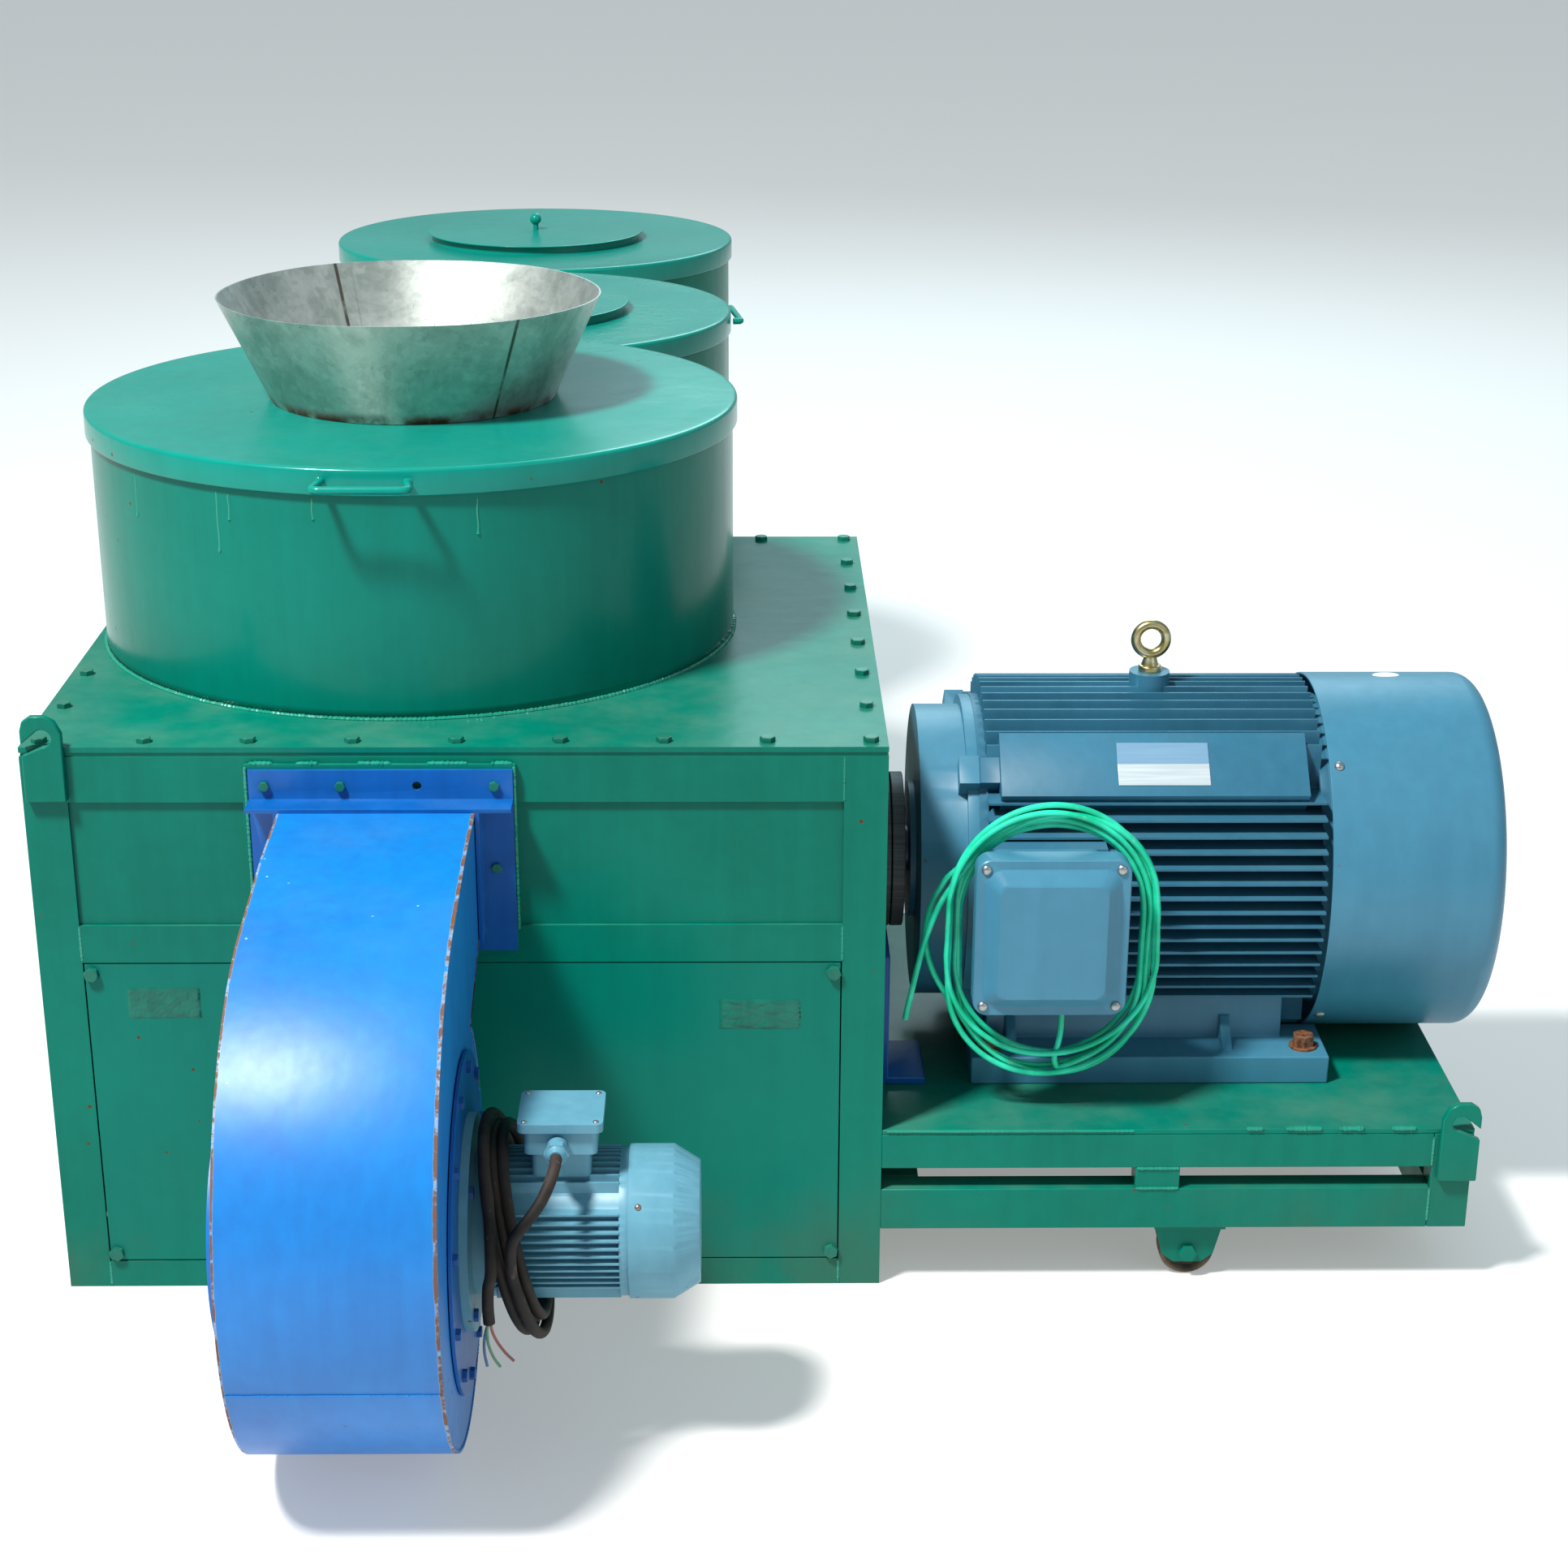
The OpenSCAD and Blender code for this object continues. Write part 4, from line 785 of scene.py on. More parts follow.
def hank_turns(t):
    """Points of the hank at t turns from its foot, anticlockwise seen from the front.

    The loop is a racetrack: an angle that stands still along the straight sides, and a lift that
    runs only there. Its half-width, top, foot and depth drift from turn to turn."""
    s = t % 1
    marks = [0, 0.2, 0.3, 0.7, 0.8, 1]
    angle = np.radians(np.interp(s, marks, [-90, 0, 0, 180, 180, 270]))
    lift = np.interp(s, marks, [0, 0, 1, 1, 0, 0])
    side = HANK_SIDE + drift([0, 12, 24, 2, 8, 27, 4, 15, 15], t)
    top = HANK_TOP + drift([6, 34, 52, 0, 18, 46, 8, 30, 30], t)
    foot = HANK_FOOT - drift([18, 0, 30, 6, 32, -4, 24, 8, 8], t)
    depth = drift([-515, -505, -520, -499, -512, -522, -503, -514, -514], t)
    low, high = foot + side, top - side
    lean = drift([0, -9, 7, 12, -10, 4, 10, -6, -6], t)
    x = HANK_X + side * np.cos(angle) + lean * np.sin(angle)
    z = low + lift * (high - low) + side * np.sin(angle)
    return np.stack([x, depth, z], -1)


print("hank of", TURNS, "turns, about", 2 * HANK_SIDE, "mm wide")

# %% [markdown]
# ## The green wire
#
# The wide turn has been pulled out to the left, so its left side follows knots of its own and then
# joins the hank again.

# %% Green wire
t = np.arange(0.07, TURNS - 0.37, 1 / KNOTS)
turns = hank_turns(t)
left_side = (t > WIDE_TURN + 0.60) & (t < WIDE_TURN + 0.87)
first, last = np.flatnonzero(left_side)[[0, -1]]
BEND_IN = [(893, -515, 341), (903, -514, 334)]
knots = [WIRE_LEAD, BEND_IN, turns[:first], LOOSE_LOOP, turns[last + 1 :], FREE_END]
green_route = smooth_path(np.vstack(knots) * MM, 6)
green_wire = piece(
    "green_wire",
    [sweep(green_route, WIRE_R, 10, up=(0.05, 1, 0.03))],
    green_pvc,
    "housing",
    ("green_wire_coil", "green_wire_ends"),
)
print("green wire", round(length_of(green_route), 3), "m")

# %% [markdown]
# ## The shape of the coil
#
# The black cable is stiffer and lies in wide rounds about the blower motor's barrel. Its coil is a
# circle about a tilted axis, and its radius and station drift from round to round. The lead from the
# gland, the tail and the three bared cores are smooth curves through a few knots each.

# %% Coil
CABLE_R, CORE_R = 8 * MM, 2 * MM
FAN_Y, FAN_Z = -990, 329
COIL_MID = np.array((104, FAN_Y, FAN_Z))
COIL_TILT = math.radians(12)
CABLE_LEAD = [
    (165, -1085, 474), (164, -1104, 470), (158, -1122, 456), (148, -1136, 438),
    (134, -1145, 419), (118, -1151, 400), (108, -1152, 381), (102, -1146, 362),
]
TAIL = [(86, -1148, 374), (81, -1163, 352), (77, -1170, 327), (76, -1173, 301), (77, -1173, 276)]
CORES = {
    "green": [
        (75, -1174, 276), (74, -1176, 262), (76, -1178, 244), (82, -1178, 226), (90, -1177, 212),
    ],
    "red": [
        (79, -1174, 276), (81, -1173, 262), (87, -1172, 246), (97, -1172, 230), (108, -1173, 218),
    ],
    "blue": [
        (77, -1171, 276), (72, -1169, 262), (69, -1168, 244), (69, -1168, 226), (72, -1169, 208),
    ],
}


def cable_turns(t):
    """Points of the cable after t turns round the blower motor: a circle about a tilted axis whose
    radius and station along the axis drift from turn to turn."""
    angle = math.radians(262) + t * TURN
    radius = drift([158, 129, 149, 131, 158, 158], t)
    station = drift([4, 12, -12, -2, -9, -9], t)
    down = np.array((math.sin(COIL_TILT), 0, -math.cos(COIL_TILT)))
    out = np.array((math.cos(COIL_TILT), 0, math.sin(COIL_TILT)))
    across = np.array((0, 1, 0))
    return (
        COIL_MID
        + (radius * np.cos(angle))[:, None] * down
        + (radius * np.sin(angle))[:, None] * across
        + station[:, None] * out
    )


coil = cable_turns(np.arange(0.015, 3.93, 1 / 22))
cable_route = smooth_path(np.vstack([CABLE_LEAD[:-1], coil, TAIL[1:]]) * MM, 6)
print("coil of", len(coil), "knots")

# %% [markdown]
# ## The black cable
#
# The cable is one tube along that curve.

# %% Black cable
black_cable = piece(
    "black_cable",
    [sweep(cable_route, CABLE_R, 14, up=(1, 0.02, 0.2))],
    black_rubber,
    "housing",
    ("black_cable_coil", "black_cable_lead", "black_cable_tail"),
)
cores = [
    piece(
        f"cable_core_{tone}",
        [sweep(smooth_path(np.array(knots) * MM, 6), CORE_R, 10, up=(0, 1, 0))],
        core_paints[tone],
        "housing",
    )
    for tone, knots in CORES.items()
]
print("black cable", round(length_of(cable_route), 3), "m")

# %% [markdown]
# ## Plates, angles and castings
#
# Flame-cut plate, angle iron and castings have flat faces but never razor edges: the paint and the
# cutter leave them a little round, and that thin round is what catches the light. Modelling each
# plate again would repeat the design, so these pieces start from the design part's own mesh. Its
# triangles are merged back into flat faces and every sharp edge is bevelled by its own width.

# %% Softened parts
MERGE, FLAT, SHARP = 1e-5, math.radians(0.8), math.radians(38)


def softened(node, width_mm, look, slot, body="housing"):
    """The design part's own mesh with flat faces merged and its sharp edges rounded."""
    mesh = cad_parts[node].data.copy()
    work = bmesh.new()
    work.from_mesh(mesh)
    bmesh.ops.remove_doubles(work, verts=work.verts, dist=MERGE)
    bmesh.ops.dissolve_limit(work, angle_limit=FLAT, verts=work.verts, edges=work.edges)
    work.to_mesh(mesh)
    work.free()
    name = node.replace("blower", "fan") + "_painted"
    made = finished(name, mesh, look, body, (node,), smooth=40)
    edge = made.modifiers.new("rounded_edges", "BEVEL")
    edge.width, edge.segments = width_mm * MM, 2
    edge.limit_method, edge.angle_limit = "ANGLE", SHARP
    edge.use_clamp_overlap = True
    return made


SOFT = [
    ("housing_frame", 1.6, green_paint, "green_enamel"),
    ("housing_sheets", 0.8, green_paint, "green_enamel"),
    ("service_door", 1.3, door_paint, "green_enamel"),
    ("top_plate", 1.6, green_paint, "green_enamel"),
    ("blower_mount_plate", 1.5, green_paint, "green_enamel"),
    ("lifting_hooks", 2.0, green_paint, "green_enamel"),
    ("bed_frame", 1.8, green_paint, "green_enamel"),
    ("bed_plate", 1.8, green_paint, "green_enamel"),
    ("castor_forks", 1.2, green_paint, "green_enamel"),
    ("rear_stand", 1.8, green_paint, "green_enamel"),
    ("rear_drums", 1.0, green_paint, "green_enamel"),
    ("bed_bracket", 2.0, plain_blue, "blue_enamel"),
    ("outlet_flange", 1.5, plain_blue, "blue_enamel"),
    ("blower_side_cover", 1.2, plain_blue, "blue_enamel"),
    ("motor_frame", 1.3, barrel_paint, "motor_enamel"),
    ("end_shields", 2.6, motor_paint, "motor_enamel"),
    ("motor_feet", 3.0, motor_paint, "motor_enamel"),
    ("fan_cover", 0.8, motor_paint, "motor_enamel"),
    ("terminal_box", 2.0, motor_paint, "motor_enamel"),
    ("blower_motor", 0.9, fan_motor_paint, "motor_enamel"),
    ("blower_fan_cover", 1.6, fan_motor_paint, "motor_enamel"),
    ("blower_terminal_box", 2.0, fan_motor_paint, "motor_enamel"),
    ("coupling", 1.6, cast_iron, "cast_bearing", "rotor"),
]
for part in SOFT:
    softened(*part)
print(len(SOFT), "softened parts")

# %% [markdown]
# ## Welds
#
# The plates are joined by hand-laid weld, and the paint follows its ripples. A bump map would do on
# a flat face, but these beads fill inner corners, so their outline shows. Each is a low round tube
# whose radius beats every few millimetres.

# %% Weld beads
WELDS = [
    ([(-301, -599, 562), (-301, -599, 854)], 2.6),
    ([(85, -599, 600), (85, -599, 854)], 2.6),
    ([(-296, -595, 857), (-262, -595, 857)], 3.4),
    ([(-228, -595, 857), (-196, -595, 857)], 3.2),
    ([(-140, -595, 857), (-92, -595, 857)], 3.4),
    ([(-40, -595, 857), (18, -595, 857)], 3.2),
    ([(52, -595, 857), (82, -595, 857)], 3.4),
    ([(632, -590, 262), (1010, -590, 262)], 2.0),
    ([(1240, -590, 265), (1296, -590, 265)], 3.4),
    ([(1322, -590, 265), (1360, -590, 265)], 3.2),
    ([(1402, -590, 265), (1440, -590, 265)], 3.4),
    ([(1180, -590, 265), (1206, -590, 265)], 3.2),
    ([(1016, -590, 198), (1082, -590, 198)], 2.4),
    ([(1016, -590, 164), (1082, -590, 164)], 2.4),
    ([(1469, -589, 106), (1469, -589, 162)], 2.2),
    ([(1469, -589, 200), (1469, -589, 250)], 2.2),
    ([(-561, -589, 797), (-561, -589, 866)], 2.0),
    ([(561, -589, 797), (561, -589, 866)], 2.0),
    ([(-561, -589, 545), (-561, -589, 602)], 2.0),
    ([(561, -589, 545), (561, -589, 602)], 2.0),
    ([(-561, -589, 3), (-561, -589, 43)], 2.0),
    ([(561, -589, 3), (561, -589, 43)], 2.0),
]
piece(
    "plate_welds",
    [weld_bead(np.array(path) * MM, width * MM, k) for k, (path, width) in enumerate(WELDS)],
    bead_paint,
    "housing",
)

# %% [markdown]
# ## The feed drum
#
# A drum is a strip rolled on three rollers and butt-welded. The rollers leave faint flats, so its
# radius varies by a fraction of a millimetre. The shell is a grid over angle and height with the
# passage's window left out, given its thickness by a Solidify modifier. A turned profile would be
# simpler, but it can't have the window.

# %% Feed drum
FEED = np.array((-108, 40)) * MM
DRUM_R, DRUM_FOOT, DRUM_TOP = 508 * MM, 880 * MM, 1255 * MM
WINDOW_X, WINDOW_Z = np.array((-131, 61)) * MM, np.array((984, 1126)) * MM
DRUM_WALL = 5 * MM

window_a = np.arccos((WINDOW_X[::-1] - FEED[0]) / DRUM_R)
rest_a = np.linspace(window_a[1], window_a[0] + TURN, 260)[1:-1]
a = np.concatenate([np.linspace(*window_a, 14), rest_a])
z = np.unique(np.r_[np.linspace(DRUM_FOOT, DRUM_TOP, 25), WINDOW_Z])
aa, zz = np.meshgrid(a, z, indexing="ij")
radius = DRUM_R - 0.35 * MM + waves(aa * DRUM_R, 0.4 * zz, 6, 0.22 * MM, 0.35, 5)
shell = np.stack([FEED[0] + radius * np.cos(aa), FEED[1] + radius * np.sin(aa), zz], -1)
points, faces = grid(shell, ring_u=True)
middles = np.array([np.mean(points[face], axis=0) for face in faces])
in_window = (middles[:, 0] > WINDOW_X[0]) & (middles[:, 0] < WINDOW_X[1])
in_window &= (middles[:, 2] > WINDOW_Z[0]) & (middles[:, 2] < WINDOW_Z[1])
in_window &= middles[:, 1] > FEED[1]
kept = [face for face, cut in zip(faces, in_window) if not cut]
feed_drum = piece(
    "feed_drum_shell", (points, kept), drum_paint, "housing", ("front_drum",)
)
wall = feed_drum.modifiers.new("sheet", "SOLIDIFY")
wall.thickness, wall.offset = DRUM_WALL, -1

# %% [markdown]
# ## The weld round the drum's foot
#
# The drum stands on the top plate and is welded to it all round. The bead is the same low tube as
# the other welds, along one circle just outside the shell.

# %% Drum weld
t = np.linspace(0, TURN, 400)
ring_r = DRUM_R + 1 * MM
foot_ring = np.stack([ring_r * np.cos(t), ring_r * np.sin(t), 0 * t + DRUM_FOOT + 1 * MM], -1)
foot_ring += (*FEED, 0)
piece("feed_drum_weld", [weld_bead(foot_ring, 3.4 * MM, 30)], bead_paint, "housing")

# %% [markdown]
# ## Runs of paint
#
# The drum was painted upright with too much paint, and a few runs have dried on it: a thin line that
# ends in a small drop. Each is a slim tube that swells at its foot and sinks into the shell.

# %% Paint runs
RUNS = [(-118.6, 1212, 96), (-116.2, 1209, 41), (-101, 1214, 34), (-74, 1213, 58), (-139, 1212, 70)]


def paint_run(angle, top, length):
    """A run down the feed drum at an angle in degrees; its radius follows a slow rise to the drop."""
    s = np.linspace(0, 1, 24)
    around = math.radians(angle) + 0.0009 * np.sin(9 * s + angle)
    out = DRUM_R - 1.0 * MM
    line = np.stack([out * np.cos(around), out * np.sin(around), (top - length * s) * MM], -1)
    line += (*FEED, 0)
    size = (1.5 + 1.3 * np.exp(-(((s - 0.94) / 0.05) ** 2))) * MM
    size[[0, -1]] *= 0.3
    return sweep(line, size, 10, up=(1, 0.2, 0))


piece("drum_paint_runs", [paint_run(*run) for run in RUNS], bead_paint, "housing")

# %% [markdown]
# ## Lids and covers
#
# Each lid is a thin round sheet with its rim turned down. The sheet drums a little, so its top is
# not quite flat. The profile is a closed outline with a rounded shoulder and a hem at its foot,
# turned about the drum's axis; the dents are a few slow waves that only go down, which keeps the
# lid inside its design size.

# %% Lids
LID_STEPS = 256
LID_R, LID_TOP, LID_HOLE, SKIRT = 515 * MM, 1259 * MM, 222 * MM, 40 * MM
SMALL_R, SMALL_TOP = 430 * MM, 1221 * MM
MIDDLE, LAST = np.array((-35, 993)) * MM, np.array((-35, 1861)) * MM


def lid_profile(r, z):
    """Outline of a lid: hole's edge, top, rounded shoulder, skirt and hem, then back inside."""
    top = np.linspace(LID_HOLE, r - 9 * MM, 16)
    hem = (r - 2 * MM, z - SKIRT + 2 * MM)
    outer = np.vstack(
        [
            np.stack([top, 0 * top + z], -1),
            arc((r - 6 * MM, z - 6 * MM), 6 * MM, 80, 0, 7),
            arc(hem, 2 * MM, 0, -90, 5),
            arc(hem, 2 * MM, -100, -180, 4),
        ]
    )
    under = np.stack([top[::-1], 0 * top + z - 4 * MM], -1)
    return np.vstack([outer, arc((r - 7 * MM, z - 7 * MM), 3 * MM, 0, 90, 4), under])


def lid(centre, r, z, seed):
    """A lid about a centre, with dents of up to a millimetre and a half on its flat top."""
    surface = revolve(lid_profile(r, z), (*centre, 0), "z", LID_STEPS)
    x, y = surface[..., 0] - centre[0], surface[..., 1] - centre[1]
    far = np.hypot(x, y)
    flat = np.clip((r - 12 * MM - far) / (30 * MM), 0, 1) * (surface[..., 2] > z - 6 * MM)
    surface[..., 2] -= flat * (0.9 * MM + waves(x, y, 7, 0.45 * MM, 0.4, seed))
    return grid(surface, ring_u=True, ring_v=True)


piece(
    "feed_drum_lid",
    [lid(FEED, LID_R, LID_TOP, 3)],
    lid_paint,
    "front_lid",
    ("front_lid",),
)

# %% [markdown]
# ## The rear lids and their round covers
#
# A settling drum's lid has an upright collar round its hole, and a flat cover drops over it: a disc
# with a locating ring below and a ball on a stem above. All are outlines turned about the same axis.
# The middle lid also has a small handle of bent bar on its right side.

# %% Rear lids
COVER_SEAT = 1235 * MM


def collar(centre):
    """The upright ring round the hole of a settling drum's lid, with a rounded top edge."""
    low, high = SMALL_TOP - 4 * MM, COVER_SEAT
    rim = arc((LID_HOLE + 1.5 * MM, high - 1.5 * MM), 1.5 * MM, 180, 0, 7)
    outline = np.vstack([[(LID_HOLE + 3 * MM, low), (LID_HOLE, low)], rim])
    return closed_turn(outline, (*centre, 0), steps=LID_STEPS)


def knobbed_cover(centre):
    """A round cover: flat disc with a rounded edge, its locating ring, and a ball on a stem."""
    r, z = 235 * MM, COVER_SEAT
    axis_foot = (*centre, 0)
    flat = [(0, z + 2.6 * MM), (150 * MM, z + 2.2 * MM), (r - 3 * MM, z + 3 * MM)]
    rim = arc((r - 1.5 * MM, z + 1.5 * MM), 1.5 * MM, 80, -80, 7)
    disc = revolve(np.vstack([flat, rim, [(LID_HOLE, z), (0, z)]]), axis_foot, steps=LID_STEPS)
    ring = np.array([(221, 1236), (218, 1236), (218, 1225), (221, 1225)]) * MM
    stem = np.array([(0, 1236), (6, 1236), (6, 1250), (4.5, 1251)]) * MM
    ball = arc((0, 1261 * MM), 12.5 * MM, -68, 90, 16)
    knob = revolve(np.vstack([stem, ball]), axis_foot, steps=40)
    return [grid(disc, ring_u=True), closed_turn(ring, axis_foot), grid(knob, ring_u=True)]


def side_handle():
    """The middle lid's small handle of bent bar, turned to the lid's right side."""
    half, foot, out, high = 70, 429, 444, 1200
    corners = [(-half, -foot, high), (-half, -out, high), (half, -out, high), (half, -foot, high)]
    bent = rounded(np.array(corners) * MM, 5 * MM)
    cos, sin = math.cos(math.radians(98)), math.sin(math.radians(98))
    x, y, z = bent.T
    turned = np.stack([x * cos - y * sin + MIDDLE[0], x * sin + y * cos + MIDDLE[1], z], -1)
    return sweep(turned, 6 * MM, 14)


for name, centre, extra, seed in (("middle", MIDDLE, [side_handle()], 11), ("rear", LAST, [], 12)):
    for label, body, parts in (
        ("drum_lid", "lid", [lid(centre, SMALL_R, SMALL_TOP, seed), collar(centre), *extra]),
        ("round_cover", "cover", knobbed_cover(centre)),
    ):
        node = f"{name}_{body}"
        piece(f"{name}_{label}", parts, lid_paint, node, (node,))

# %% [markdown]
# ## Front handle
#
# A bent bar welded to the lid's skirt by two small loops, at the height of the skirt's middle. The
# bar is swept along a path with rounded corners, and each foot gets a lump of weld.

# %% Front handle
HANDLE_X, HANDLE_Z, HANDLE_HALF = -127 * MM, 1240 * MM, 70 * MM
HANDLE_FRONT = -524 * MM
LUMP = np.vstack([[(0, 4 * MM)], arc((0, 0), 9 * MM, 25, -90, 8)])

ends, lumps = [], []
for side in (-1, 1):
    x = HANDLE_X + side * HANDLE_HALF
    y = FEED[1] - math.sqrt(LID_R**2 - (x - FEED[0]) ** 2)
    ends.append([(x - side * 9 * MM, y + 1 * MM, HANDLE_Z), (x, HANDLE_FRONT, HANDLE_Z)])
    lump = revolve(LUMP, (x - side * 6 * MM, y + 6 * MM, HANDLE_Z), "y", 20)
    lumps.append(grid(lump, ring_u=True))
bar = rounded(ends[0] + ends[1][::-1], 12 * MM, 9)
piece(
    "lid_handle",
    [sweep(bar, 6 * MM, 16), *lumps],
    lid_paint,
    "front_lid",
    ("front_handle",),
)

# %% [markdown]
# ## Galvanised hopper
#
# The cone was cut from two flat pieces, rolled, and lapped over each other along two seams. Its rim
# was never quite round or level. The cone is a closed profile turned about the drum's axis, with
# the rim dipped by two slow waves, and each seam is a thin strip that follows the cone.

# %% Hopper
CONE_FOOT, CONE_RIM, CONE_H = 226 * MM, 302 * MM, 163 * MM
SHEET, SPIGOT_DEPTH, SEAM_HALF = 2.5 * MM, 16 * MM, 13 * MM
spigot = LID_HOLE - 0.5 * MM
up = np.linspace(0, 1, 22)
outside = np.stack([CONE_FOOT + (CONE_RIM - CONE_FOOT) * up, LID_TOP + CONE_H * up], -1)
inside = outside[::-1] - (SHEET, 0)
inside[-1] = (spigot - SHEET, LID_TOP + 2 * MM)
spigot_foot = [(spigot - SHEET, LID_TOP - SPIGOT_DEPTH), (spigot, LID_TOP - SPIGOT_DEPTH)]
outline = np.vstack([spigot_foot, [(spigot, LID_TOP)], outside, inside])
surface = revolve(outline, (*FEED, 0), steps=240)
angle = np.arctan2(surface[..., 1] - FEED[1], surface[..., 0] - FEED[0])
lift = np.clip((surface[..., 2] - LID_TOP) / CONE_H, 0, 1)
surface[..., 2] -= lift**3 * (1.6 + 1.0 * np.sin(2 * angle + 0.7) + 0.6 * np.sin(5 * angle)) * MM
dent = 1.0 + 0.5 * np.sin(3 * angle + 1.1) + 0.5 * np.sin(7 * angle)
surface[..., :2] -= (surface[..., :2] - FEED) * (lift * dent * 1.1 * MM / CONE_RIM)[..., None]


def lap_seam(middle, front, back):
    """A strip up the cone at an angle in degrees. Its front and back stand at two distances, in
    millimetres, from the cone's outer face: radius = the cone's own radius + that distance."""
    up = np.linspace(0.01, 0.975, 20)[:, None]
    a = math.radians(middle) + np.linspace(-1, 1, 7)[None, :] * SEAM_HALF / CONE_RIM + 0 * up
    height = LID_TOP + (CONE_H - 1.5 * MM) * up + 0 * a
    skins = []
    for distance in (front, back):
        r = CONE_FOOT + (CONE_RIM - CONE_FOOT) * up + distance * MM
        skins.append(np.stack([r * np.cos(a), r * np.sin(a), height], -1) + (*FEED, 0))
    return grid(np.concatenate([skins[0], skins[1][:, ::-1]], axis=1), ring_v=True, caps=True)


piece(
    "hopper_cone",
    [
        grid(surface, ring_u=True, ring_v=True),
        lap_seam(-49, -0.4, -1.6),
        lap_seam(118, -5.5, -3.5),
    ],
    zinc_sheet,
    "front_lid",
    ("feed_hopper",),
)

# %% [markdown]
# ## The blower's casing
#
# The scroll is a long strip bent round two side plates and welded along both edges, so its edge
# stands a little proud of the plates. The radius grows with the square of the angle from the tongue:
# r(t) = r0 + (r1 - r0) (t / end)^2. Sampling that finely gives a smooth sheet with the same outline
# as the design. The side plates are flat fills between that outline and the round openings.

# %% Scroll outline and side plates
CASE_LEFT, CASE_RIGHT = -251, 31
SHEET_MM, LIP, CHAMFER = 4, 1.5, 0.9
SCROLL_R, SCROLL_GROWTH, SCROLL_END = 280, 153, 270
DUCT_TOP, DUCT_FOOT = 800, 600
INLET_R, MOTOR_HOLE_R = 150, 195


def scroll_radius(t):
    """Radius in millimetres at t degrees round from the tongue: it grows with the square of t."""
    return SCROLL_R + SCROLL_GROWTH * (np.maximum(t, 0) / SCROLL_END) ** 2


def scroll_outline(inset, mouth):
    """The scroll and its duct in the design's millimetres, moved in by an inset: rows of (y, z)."""
    t = np.linspace(-50, SCROLL_END, 129)
    r = scroll_radius(t) - inset
    curve = np.stack([FAN_Y + r * np.cos(np.radians(t)), FAN_Z - r * np.sin(np.radians(t))], -1)
    top, foot = DUCT_TOP - inset, DUCT_FOOT + inset
    return np.vstack([curve, [(-804, top - 10), (-650, top), (mouth, top), (mouth, foot), (-650, foot)]])


def side_plate(x, hole):
    """A flat plate with the scroll's outline and a round hole, extruded along X."""
    outline = scroll_outline(1.0, -599)
    t = np.linspace(0, TURN, 96, endpoint=False)
    ring = np.stack([FAN_Y + hole * np.cos(t), FAN_Z + hole * np.sin(t)], -1)
    work = bmesh.new()
    for loop in (outline, ring):
        verts = [work.verts.new((x, y, z)) for y, z in loop]
        for one, two in zip(verts, verts[1:] + verts[:1]):
            work.edges.new((one, two))
    bmesh.ops.triangle_fill(work, use_beauty=True, edges=work.edges)
    made = bmesh.ops.extrude_face_region(work, geom=work.faces)
    moved = [v for v in made["geom"] if isinstance(v, bmesh.types.BMVert)]
    bmesh.ops.translate(work, verts=moved, vec=(SHEET_MM, 0, 0))
    work.verts.ensure_lookup_table()
    points = np.array([v.co for v in work.verts])
    faces = [[v.index for v in face.verts] for face in work.faces]
    work.free()
    return points * MM, faces


plates = [side_plate(CASE_RIGHT - LIP - SHEET_MM, MOTOR_HOLE_R), side_plate(CASE_LEFT + LIP, INLET_R)]
print("side plates", [len(faces) for points, faces in plates], "faces")

# %% [markdown]
# ## The wrapper and its welds
#
# The wrapper is the strip bent round that outline: a section of six points, with its outer corners
# pulled in a little where they are worn round, is repeated at every point of the outline. It was
# made from four strips, so three welds cross it, and two more run along the side plates. The inlet
# ring is turned about the fan's axis.

# %% Blower wrapper
outer, inner = (np.roll(scroll_outline(inset, -598), 2, axis=0) for inset in (0, SHEET_MM))
section = [
    (CASE_LEFT, outer, 0.25), (CASE_LEFT + CHAMFER, outer, 0),
    (CASE_RIGHT - CHAMFER, outer, 0), (CASE_RIGHT, outer, 0.25),
    (CASE_RIGHT, inner, 0), (CASE_LEFT, inner, 0),
]
rows = []
for x, line, pull in section:
    pulled = line + (np.array((FAN_Y, FAN_Z)) - line) * (pull / 330)
    rows.append(np.column_stack([np.full(len(line), x), pulled]))
wrapper = np.stack(rows, axis=1) * MM

welds = []
x = np.linspace(CASE_LEFT + 3, CASE_RIGHT - 3, 40)
for seed, t in ((3, 20), (17, 101), (29, 168)):
    r = scroll_radius(t) + 0.2
    y, z = FAN_Y + r * math.cos(math.radians(t)), FAN_Z - r * math.sin(math.radians(t))
    welds.append(weld_bead(np.stack([x, 0 * x + y, 0 * x + z], -1) * MM, 2.2 * MM, seed))
rim = scroll_outline(3.2, -612)[:-2]
for seed, x in ((70, CASE_RIGHT - LIP), (71, CASE_LEFT + LIP)):
    welds.append(weld_bead(np.column_stack([np.full(len(rim), x), rim]) * MM, 2.0 * MM, seed))

inlet = [(150, -251), (150, -291), (180, -291), (180, -286), (154, -286), (154, -251)]
inlet_ring = closed_turn(np.array(inlet) * MM, (0, FAN_Y * MM, FAN_Z * MM), "x")
piece(
    "blower_scroll",
    [grid(wrapper, ring_v=True, caps=True), *plates, *welds, inlet_ring],
    blue_paint,
    "housing",
    ("blower_casing",),
    smooth=30,
)

# %% [markdown]
# ## Hexagon bolts
#
# A hexagon head is turned from bar, so a cone cuts its corners at the top. Its ring of 24 points has
# the radius of a hexagon, r = flat / cos(angle to the nearest flat), and the top of each point is as
# low as that cone. All heads share this one small shape, set in place by a direction and a random
# turn, because nobody lines bolts up.

